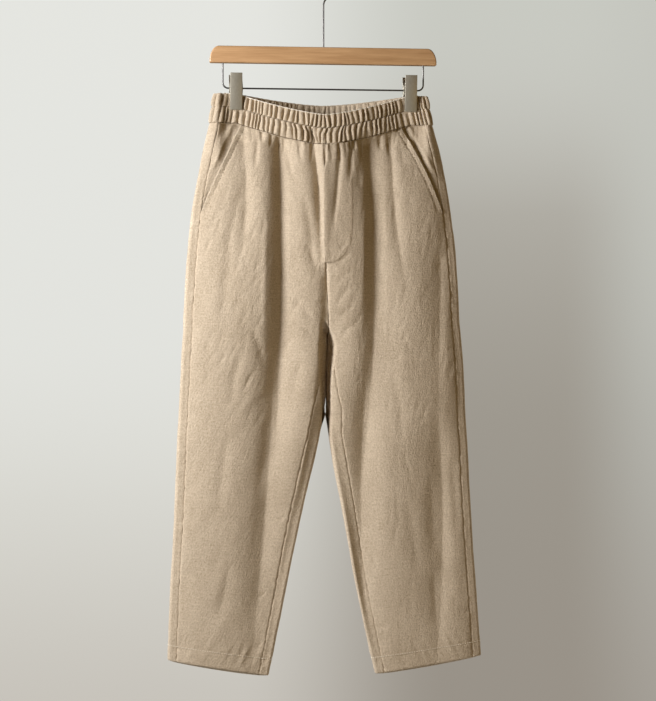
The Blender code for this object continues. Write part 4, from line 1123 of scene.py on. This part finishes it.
def stitch_tree():
    """Stitches along a line of edges: one small pillow of thread for each step."""
    tree = bpy.data.node_groups.new("stitches", "GeometryNodeTree")
    face = tree.interface
    face.new_socket("Geometry", in_out="INPUT", socket_type="NodeSocketGeometry")
    for name in ("Step", "Stitch Length", "Thread Radius"):
        face.new_socket(name, in_out="INPUT", socket_type="NodeSocketFloat")
    face.new_socket("Thread", in_out="INPUT", socket_type="NodeSocketMaterial")
    face.new_socket("Geometry", in_out="OUTPUT", socket_type="NodeSocketGeometry")
    given, made = tree.nodes.new("NodeGroupInput"), tree.nodes.new("NodeGroupOutput")
    lines = tree.nodes.new("GeometryNodeMeshToCurve")
    points = tree.nodes.new("GeometryNodeCurveToPoints")
    points.mode = "LENGTH"
    pillow = tree.nodes.new("GeometryNodeMeshUVSphere")
    pillow.inputs["Segments"].default_value = 6
    pillow.inputs["Rings"].default_value = 5
    pillow.inputs["Radius"].default_value = 1
    turn = tree.nodes.new("FunctionNodeAlignRotationToVector")
    turn.axis = "Z"
    size = tree.nodes.new("ShaderNodeCombineXYZ")
    half = tree.nodes.new("ShaderNodeMath")
    half.operation = "MULTIPLY"
    half.inputs[1].default_value = 0.5
    place = tree.nodes.new("GeometryNodeInstanceOnPoints")
    real = tree.nodes.new("GeometryNodeRealizeInstances")
    soft = tree.nodes.new("GeometryNodeSetShadeSmooth")
    dress = tree.nodes.new("GeometryNodeSetMaterial")
    for source, out, target, into in (
        (given, "Geometry", lines, "Mesh"), (lines, "Curve", points, "Curve"),
        (given, "Step", points, "Length"), (given, "Stitch Length", half, 0),
        (given, "Thread Radius", size, 0), (given, "Thread Radius", size, 1), (half, 0, size, 2),
        (points, "Tangent", turn, "Vector"), (points, "Points", place, "Points"),
        (pillow, "Mesh", place, "Instance"), (turn, "Rotation", place, "Rotation"),
        (size, 0, place, "Scale"), (place, "Instances", real, "Geometry"),
        (real, "Geometry", soft, "Geometry"), (soft, "Geometry", dress, "Geometry"),
        (given, "Thread", dress, "Material"), (dress, "Geometry", made, "Geometry"),
    ):
        link(tree, source.outputs[out], target.inputs[into])
    return tree


stitches = stitch_tree()


def settle(piece):
    """The evaluated shape of a piece as its plain mesh, with no modifier left."""
    seen = piece.evaluated_get(bpy.context.evaluated_depsgraph_get())
    mesh = bpy.data.meshes.new_from_object(seen)
    piece.modifiers.clear()
    piece.data = mesh
    return piece


def sew(name, lines, thread, step=STITCH, radius=THREAD, length=None):
    """Stitches along lines of points, as one piece."""
    points, edges = [], []
    for line in lines:
        first = sum(len(one) for one in points)
        points.append(line)
        edges += [(first + k, first + k + 1) for k in range(len(line) - 1)]
    mesh = bpy.data.meshes.new(name)
    mesh.from_pydata(np.concatenate(points) * MM, edges, [])
    piece = put(name, mesh)
    maker = piece.modifiers.new("stitches", "NODES")
    maker.node_group = stitches
    values = {
        "Step": step * MM, "Stitch Length": (length or step * 0.84) * MM,
        "Thread Radius": radius * MM, "Thread": thread,
    }
    for item in stitches.interface.items_tree:
        if item.in_out == "INPUT" and item.name in values:
            maker[item.identifier] = values[item.name]
    settle(piece)
    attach(piece, "root")
    return piece


def thread(name, colour):
    finish, tree, shader = new_finish(name, {"Roughness": 0.75, "Specular IOR Level": 0.25})
    fuzz = noise_node(tree, own_place(tree), 900)
    dark, light = ([share * c for c in colour] for share in (0.8, 1.1))
    colour_by(tree, fuzz, shader, dark, light)
    bump_by(tree, fuzz, shader, 0.3, 0.0002)
    return finish


cream_thread = thread("cream thread", (0.88, 0.80, 0.66))
# Near-black: the thread's colour is darkened to paint the shade of needle holes and gathers.
thread_darkened_as_shade = thread("thread darkened with painted shade", (0.13, 0.09, 0.055))
soft_thread = thread("linen thread", (0.52, 0.42, 0.30))
# Pale: stands in for light caught by the band's top rim, a painted highlight.
pale_rim_highlight = thread("pale painted rim highlight", (0.92, 0.86, 0.75))


def level_line(side, level, start, end, lift, count=200):
    turns, run = runs(side, np.array([level]), np.array([start]), np.array([end]))
    turns = np.interp(np.linspace(0, run[0][-1], count), run[0], turns[0])
    return draped(side, turns, np.full(count, level), lift)


hem_lines = []
row = HEM + HEM_DEEP
for side in (LEFT, RIGHT):
    inner_end = inseam_turns(side, [row])[0]
    outer_end = side_turns(side, [row])[0]
    hem_lines.append(level_line(side, row, inner_end + 0.02, outer_end - 0.01, 0.1))
    hem_lines.append(level_line(side, row, outer_end + 0.01, inner_end + 2 * math.pi - 0.02, 0.1))
sew("hem_stitching", hem_lines, cream_thread, step=3.8, radius=0.62)

# The inner row sits in the topstitch pits, in near-black thread that paints their shade.
slash_lines, pit_shade_lines = [], []
for side in (LEFT, RIGHT):
    levels = np.linspace(BAND_FOOT - 1, SLASH_END + 6, 90)
    start, slash = front_ends(side, levels)
    turns, run = runs(side, levels, slash, start)
    for lines, inset, lift in ((slash_lines, 1.8, 0.9), (pit_shade_lines, TOPSTITCH_IN, -0.9)):
        found = turns_at(np.full(len(levels), inset), run, turns)
        lines.append(draped(side, found, levels, lift))
sew("slash_stitching", slash_lines, cream_thread)
sew("slash_topstitching", pit_shade_lines, thread_darkened_as_shade, step=5.2, radius=0.6, length=2.4)

levels = np.concatenate([
    np.linspace(BAND_FOOT - 1, FLY_STRAIGHT, 50), np.linspace(FLY_STRAIGHT, FLY_FOOT + 1.2, 60)[1:],
])
j_line = on_front(levels, np.maximum(fly_reach(levels) - 2.0, 0.5)[:, None], 0.32)[:, 0]
sew("fly_stitching", [j_line], soft_thread)


def tack(x, z, length, lean):
    """A bar tack: close stitches from side to side, along a short line on the front."""
    marks = []
    for k in range(int(length / 0.55)):
        t = k * 0.55 - length / 2
        level = np.array([z + t * math.cos(lean)])
        for off in (-1.0, 1.0):
            middle = x + t * math.sin(lean) + off
            marks.append(on_front(level, np.array([[middle]]), 1.15)[0, 0])
    return np.array(marks)


sew("fly_tacks", [tack(1.5, -418, 8, 0.0), tack(5, -462, 7, 0.5)], cream_thread,
    step=1.1, radius=0.26, length=2.2)

# The band's middle and foot rows: near-black thread that paints the shade of the needle holes and of the
# groove under the band.
for name, high, radius in (
    ("band_stitching", MIDDLE_ROW, 0.5), ("band_foot_stitching", LOWEST_ROW, 0.8),
):
    band_lines = []
    for face in (FRONT, BACK):
        line = band_faces[face][BAND_ROWS.index(high)].copy()
        line[:, 1] -= face * 0.45
        band_lines.append(line)
    sew(name, band_lines, thread_darkened_as_shade, step=3.4, radius=radius)
# A pale cord along the band's top edge, painted as the highlight of its rim.
rim_highlight_line = band_faces[FRONT][-2].copy()
rim_highlight_line[:, 1] -= 0.5
rim_highlight_line[:, 2] += 0.5
sew("band_edge_stitching", [rim_highlight_line], pale_rim_highlight, step=1.2, radius=0.8, length=2.0)


# ======== the hanger's bar ========
# A flat beech bar with rounded shoulders, sanded edges and a clear satin varnish. The grain runs
# along it. The hook stands in a hole on its top, and the rail's ends in two holes below.

BAR_HALF, BAR_TOP, BAR_BOTTOM, BAR_THICK = 182, -120, -147, 13
SHOULDER = (15, 24)
HOLE_RADIUS, HOLE_DEEP, RAIL_END = 1.6, 15, 161
SANDED = 2.2  # radius of the bar's edges


def shade_smooth(mesh, sharp_from):
    """Smooth shading, but for edges that turn by more than sharp_from degrees."""
    mesh.polygons.foreach_set("use_smooth", np.ones(len(mesh.polygons), bool))
    mesh.set_sharp_from_angle(angle=math.radians(sharp_from))


angles = np.radians(np.linspace(0, 90, 17))
profile = [(BAR_HALF, BAR_BOTTOM)]
profile += [
    (BAR_HALF - SHOULDER[0] * (1 - math.cos(a)), BAR_TOP - SHOULDER[1] * (1 - math.sin(a)))
    for a in angles
]
profile += [(-x, z) for x, z in reversed(profile)]
shape = bmesh.new()
start = shape.faces.new([shape.verts.new((x * MM, -BAR_THICK / 2 * MM, z * MM)) for x, z in profile])
drawn = bmesh.ops.extrude_face_region(shape, geom=[start], use_keep_orig=True)["geom"]
moved = [part for part in drawn if isinstance(part, bmesh.types.BMVert)]
bmesh.ops.translate(shape, vec=(0, BAR_THICK * MM, 0), verts=moved)
bmesh.ops.recalc_face_normals(shape, faces=shape.faces)
bar_mesh = bpy.data.meshes.new("bar")
shape.to_mesh(bar_mesh)
shape.free()

beech, tree, shader = new_finish(
    "varnished beech", {"Roughness": 0.42, "Coat Weight": 0.25, "Coat Roughness": 0.3}
)
rings = noise_node(tree, own_place(tree, (5, 60, 90)), 1.6, 4, 0.6)
flecks = noise_node(tree, own_place(tree, (22, 700, 700)))
mixed = math_node(tree, "MULTIPLY_ADD", flecks, 0.5, math_node(tree, "MULTIPLY", rings, 0.6))
colour_by(tree, mixed, shader, (0.46, 0.26, 0.12), (0.64, 0.395, 0.20), 0.38, 0.68)
bump_by(tree, flecks, shader, 0.15, 0.0003)

bar = add("hanger_bar_beech", bar_mesh, beech)
edge = bar.modifiers.new("sanded edges", "BEVEL")
edge.width, edge.segments = SANDED * MM, 5
edge.limit_method, edge.angle_limit = "ANGLE", math.radians(50)
for x, low, high in (
    (0, BAR_TOP - HOLE_DEEP, BAR_TOP + 1),
    (-RAIL_END, BAR_BOTTOM - 1, BAR_BOTTOM + HOLE_DEEP),
    (RAIL_END, BAR_BOTTOM - 1, BAR_BOTTOM + HOLE_DEEP),
):
    shape = bmesh.new()
    bmesh.ops.create_cone(
        shape, cap_ends=True, segments=24, radius1=HOLE_RADIUS * MM, radius2=HOLE_RADIUS * MM,
        depth=(high - low) * MM,
    )
    bmesh.ops.translate(shape, vec=(x * MM, 0, (low + high) / 2 * MM), verts=shape.verts)
    drill_mesh = bpy.data.meshes.new("drill")
    shape.to_mesh(drill_mesh)
    shape.free()
    drill = put("drill", drill_mesh)
    hole = bar.modifiers.new("hole", "BOOLEAN")
    hole.operation, hole.solver, hole.object = "DIFFERENCE", "EXACT", drill
settle(bar)
for drill in [one for one in bpy.data.objects if one.name.startswith("drill")]:
    bpy.data.objects.remove(drill)
shade_smooth(bar.data, 35)
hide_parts("hanger_bar")
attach(bar, "root")


# ======== the wires: the hook, the rail and the clips' springs ========
# The hook and the rail are drawn steel wire with a dark plated finish, bent cold. Each spring is a
# coil of thin wire round the rail, which opens its clip.

HOOK_WIRE, RAIL_WIRE, HOOK_RADIUS = 1.3, 1.3, 21
HOOK_SWEEP, HOOK_BEND = (25.6, 262), 16
RAIL_HEIGHT, RAIL_BEND = -187, 9
COIL_RADIUS, COIL_WIRE, COIL_TURNS, COIL_LONG = 2.7, 0.6, 9, 12.4


def metal(name, dark, light, roughness, scale, metallic=1.0):
    """Plated steel: brushed along its own length, a little cloudy."""
    finish, tree, shader = new_finish(name, {"Metallic": metallic})
    cloudy = noise_node(tree, own_place(tree, scale), 1, 3)
    colour_by(tree, cloudy, shader, dark, light, 0.3, 0.7)
    rough = math_node(tree, "MULTIPLY_ADD", cloudy, 0.16, roughness - 0.08)
    link(tree, rough, shader.inputs["Roughness"])
    bump_by(tree, cloudy, shader, 0.12, 0.0002)
    return finish


dark_wire = metal("dark plated wire", (0.10, 0.10, 0.10), (0.20, 0.195, 0.19), 0.38, (300, 300, 300))
satin_steel = metal(
    "satin plated steel", (0.33, 0.31, 0.25), (0.40, 0.38, 0.31), 0.45, (1200, 1200, 60), 0.45
)


def wire(name, points, radius, finish, sides=4):
    """A round wire along points, with closed ends, as a plain mesh."""
    curve = bpy.data.curves.new(name, "CURVE")
    curve.dimensions = "3D"
    curve.bevel_depth = radius * MM
    curve.bevel_resolution = sides
    curve.use_fill_caps = True
    spline = curve.splines.new("POLY")
    spline.points.add(len(points) - 1)
    for point, (x, y, z) in zip(spline.points, points):
        point.co = (x * MM, y * MM, z * MM, 1)
    curve.materials.append(finish)
    maker = put(name + "_line", curve)
    mesh = bpy.data.meshes.new_from_object(maker.evaluated_get(bpy.context.evaluated_depsgraph_get()))
    bpy.data.objects.remove(maker)
    shade_smooth(mesh, 50)
    return put(name, mesh)


def arc(x, z, radius, start, end, steps):
    turns = np.radians(np.linspace(start, end, steps + 1))
    return [(x + radius * math.cos(a), 0, z + radius * math.sin(a)) for a in turns]


leaves = math.radians(HOOK_SWEEP[0])
bow = HOOK_WIRE - HOOK_RADIUS
bend = bow - HOOK_RADIUS * math.cos(leaves) - HOOK_BEND * math.cos(leaves)
points = [(0, 0, BAR_TOP - HOLE_DEEP + 1), (0, 0, BAR_TOP)]
points += arc(HOOK_BEND, bend, HOOK_BEND, 180, 90 + HOOK_SWEEP[0], 12)
points += arc(0, bow, HOOK_RADIUS, HOOK_SWEEP[0] - 90, HOOK_SWEEP[1] - 90, 60)[1:]
hook = wire("hook", points, HOOK_WIRE, dark_wire)
turn = RAIL_END - RAIL_BEND
points = [(-RAIL_END, 0, BAR_BOTTOM + 14)]
points += arc(-turn, RAIL_HEIGHT + RAIL_BEND, RAIL_BEND, 180, 270, 14)
points += arc(turn, RAIL_HEIGHT + RAIL_BEND, RAIL_BEND, 270, 360, 14)
points += [(RAIL_END, 0, BAR_BOTTOM + 14)]
rail = wire("rail", points, RAIL_WIRE, dark_wire)
for piece, cad in ((hook, "hanger_hook"), (rail, "rail_wire")):
    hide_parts(cad)
    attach(piece, "root")

for side, word in ((LEFT, "left"), (RIGHT, "right")):
    turns = np.linspace(0, COIL_TURNS * 2 * math.pi, COIL_TURNS * 20 + 1)
    along = side * CLIP_AT + COIL_LONG * (turns / turns[-1] - 0.5)
    points = np.stack(
        [along, COIL_RADIUS * np.sin(turns), RAIL_HEIGHT + COIL_RADIUS * np.cos(turns)], -1
    )
    coil = wire("coil_" + word, points, COIL_WIRE, satin_steel, sides=2)
    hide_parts(f"clip_{word}_spring")
    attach(coil, "root")


# ======== the clips ========
# Each clip is two leaves of pressed steel sheet with folded cheeks, hung on the rail. The sheet's
# edges are tumbled round, and the satin plating is slightly olive.

TUMBLED = 0.35  # radius of the sheet's edges

for word in ("left", "right"):
    for part in ("front_leaf", "back_leaf"):
        name = f"clip_{word}_{part}"
        shape = bmesh.new()
        shape.from_mesh(frame["nodes"][name].data)
        bmesh.ops.remove_doubles(shape, verts=shape.verts, dist=1e-6)
        bmesh.ops.dissolve_limit(
            shape, angle_limit=math.radians(1), verts=shape.verts, edges=shape.edges
        )
        mesh = bpy.data.meshes.new(name)
        shape.to_mesh(mesh)
        shape.free()
        leaf = add(name + "_steel", mesh, satin_steel)
        edge = leaf.modifiers.new("tumbled edges", "BEVEL")
        edge.width, edge.segments = TUMBLED * MM, 2
        edge.limit_method, edge.angle_limit = "ANGLE", math.radians(30)
        settle(leaf)
        shade_smooth(leaf.data, 35)
        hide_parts(name)
        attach(leaf, "root")


# ======== the room: a pale floor, soft light from the left, and the camera ========
# A matt floor lies under the hanging trousers. A soft lamp stands to the left, a weak warm one to the
# right and two behind. The pale grey room that the camera sees is painted, with painted shade: darker
# low down and towards the right, and a painted soft shadow right of the middle.

FLOOR_AT, FLOOR_WIDE = -1.63, 2.3
floor_mesh = bpy.data.meshes.new("floor")
disc = bmesh.new()
bmesh.ops.create_circle(disc, cap_ends=True, segments=96, radius=FLOOR_WIDE)
bmesh.ops.translate(disc, vec=(0, 0, FLOOR_AT), verts=disc.verts)
disc.to_mesh(floor_mesh)
disc.free()
floor_finish, tree, shader = new_finish("pale matt floor", {"Roughness": 0.9})
patches = noise_node(tree, own_place(tree), 3)
colour_by(tree, patches, shader, (0.60, 0.60, 0.59), (0.68, 0.68, 0.67))
add("floor", floor_mesh, floor_finish)


def lamp(name, place, size, power, colour):
    light = bpy.data.lights.new(name, "AREA")
    light.shape, light.size, light.energy, light.color = "DISK", size, power, colour
    holder = put(name, light)
    holder.location = place
    holder.rotation_mode = "QUATERNION"
    direction = LOOK_AT - np.array(place)
    holder.rotation_quaternion = mathutils.Vector(direction).to_track_quat("-Z", "Y")
    holder.visible_camera = False


LOOK_AT = np.array((0.0072, 0.0, -0.6045))
lamp("key", (-1.36, -0.76, -0.14), 0.68, 38, (1.0, 0.985, 1.0))
lamp("fill", (1.3, -2.1, -0.6), 1.4, 5.0, (1.0, 0.66, 0.18))
lamp("back left", (-1.9, 1.9, 0.2), 1.0, 34, (1.0, 0.97, 0.92))
lamp("back right", (2.3, 1.1, -0.2), 1.2, 16, (1.0, 0.92, 0.80))

bpy.context.scene.view_settings.view_transform = "Standard"
world = bpy.data.worlds.new("studio")
bpy.context.scene.world = world
world.use_nodes = True
tree = world.node_tree
tree.nodes.clear()
out = tree.nodes.new("ShaderNodeOutputWorld")
seen = tree.nodes.new("ShaderNodeBackground")
lit = tree.nodes.new("ShaderNodeBackground")
lit.inputs["Color"].default_value = (1.0, 0.59, 0.18, 1)
lit.inputs["Strength"].default_value = 0.05
place = tree.nodes.new("ShaderNodeTexCoord")
parts = tree.nodes.new("ShaderNodeSeparateXYZ")
link(tree, place.outputs["Generated"], parts.inputs[0])


def across_view(axis, start, end):
    """An even ramp of the view's direction along one axis."""
    span = tree.nodes.new("ShaderNodeMapRange")
    span.interpolation_type = "SMOOTHSTEP" if axis == "X" else "LINEAR"
    span.inputs["From Min"].default_value, span.inputs["From Max"].default_value = start, end
    link(tree, parts.outputs[axis], span.inputs["Value"])
    return span.outputs["Result"]


height = across_view("Z", -0.18, 0.18)
sides = []
for painted_wall_tones in (  # painted shade on the wall: at the left, right of the middle (a painted soft shadow), and far right, from low to high
    ((0, (0.55, 0.52, 0.47)), (0.28, (0.70, 0.695, 0.645)), (0.5, (0.77, 0.775, 0.74)),
     (1, (0.785, 0.79, 0.75))),
    ((0, (0.315, 0.283, 0.243)), (0.4, (0.33, 0.305, 0.263)), (0.7, (0.42, 0.40, 0.355)),
     (0.86, (0.575, 0.575, 0.53)), (1, (0.58, 0.59, 0.54))),
    ((0, (0.36, 0.33, 0.29)), (0.4, (0.46, 0.46, 0.42)), (0.72, (0.55, 0.555, 0.51)),
     (1, (0.56, 0.565, 0.52))),
):
    ramp = tree.nodes.new("ShaderNodeValToRGB")
    ramp.color_ramp.interpolation = "B_SPLINE"
    for k, (at, tone) in enumerate(painted_wall_tones):
        stops = ramp.color_ramp.elements
        stop = stops[k] if k < 2 else stops.new(at)
        stop.position, stop.color = at, (*tone, 1)
    link(tree, height, ramp.inputs[0])
    sides.append(ramp.outputs[0])
wall = sides[0]
# Blend in the painted soft shadow right of the middle, then the painted darker far right.
for other, start, end in ((sides[1], 0.044, 0.158), (sides[2], 0.215, 0.275)):
    blend = tree.nodes.new("ShaderNodeMix")
    blend.data_type = "RGBA"
    link(tree, across_view("X", start, end), blend.inputs[0])
    link(tree, wall, blend.inputs[6])
    link(tree, other, blend.inputs[7])
    wall = blend.outputs[2]
link(tree, wall, seen.inputs["Color"])
choose = tree.nodes.new("ShaderNodeMixShader")
path = tree.nodes.new("ShaderNodeLightPath")
link(tree, path.outputs["Is Camera Ray"], choose.inputs["Fac"])
link(tree, lit.outputs[0], choose.inputs[1])
link(tree, seen.outputs[0], choose.inputs[2])
link(tree, choose.outputs[0], out.inputs["Surface"])

CAMERA_FAR, CAMERA_TURN = 3.0, math.radians(-5.5)
camera = bpy.data.cameras.new("camera")
camera.lens, camera.sensor_width = 96.3, 36
camera.clip_end = 50
eye = put("camera", camera)
eye.location = (
    LOOK_AT[0] + CAMERA_FAR * math.sin(CAMERA_TURN),
    LOOK_AT[1] - CAMERA_FAR * math.cos(CAMERA_TURN),
    LOOK_AT[2],
)
eye.rotation_euler = (math.pi / 2, 0, CAMERA_TURN)
bpy.context.scene.camera = eye
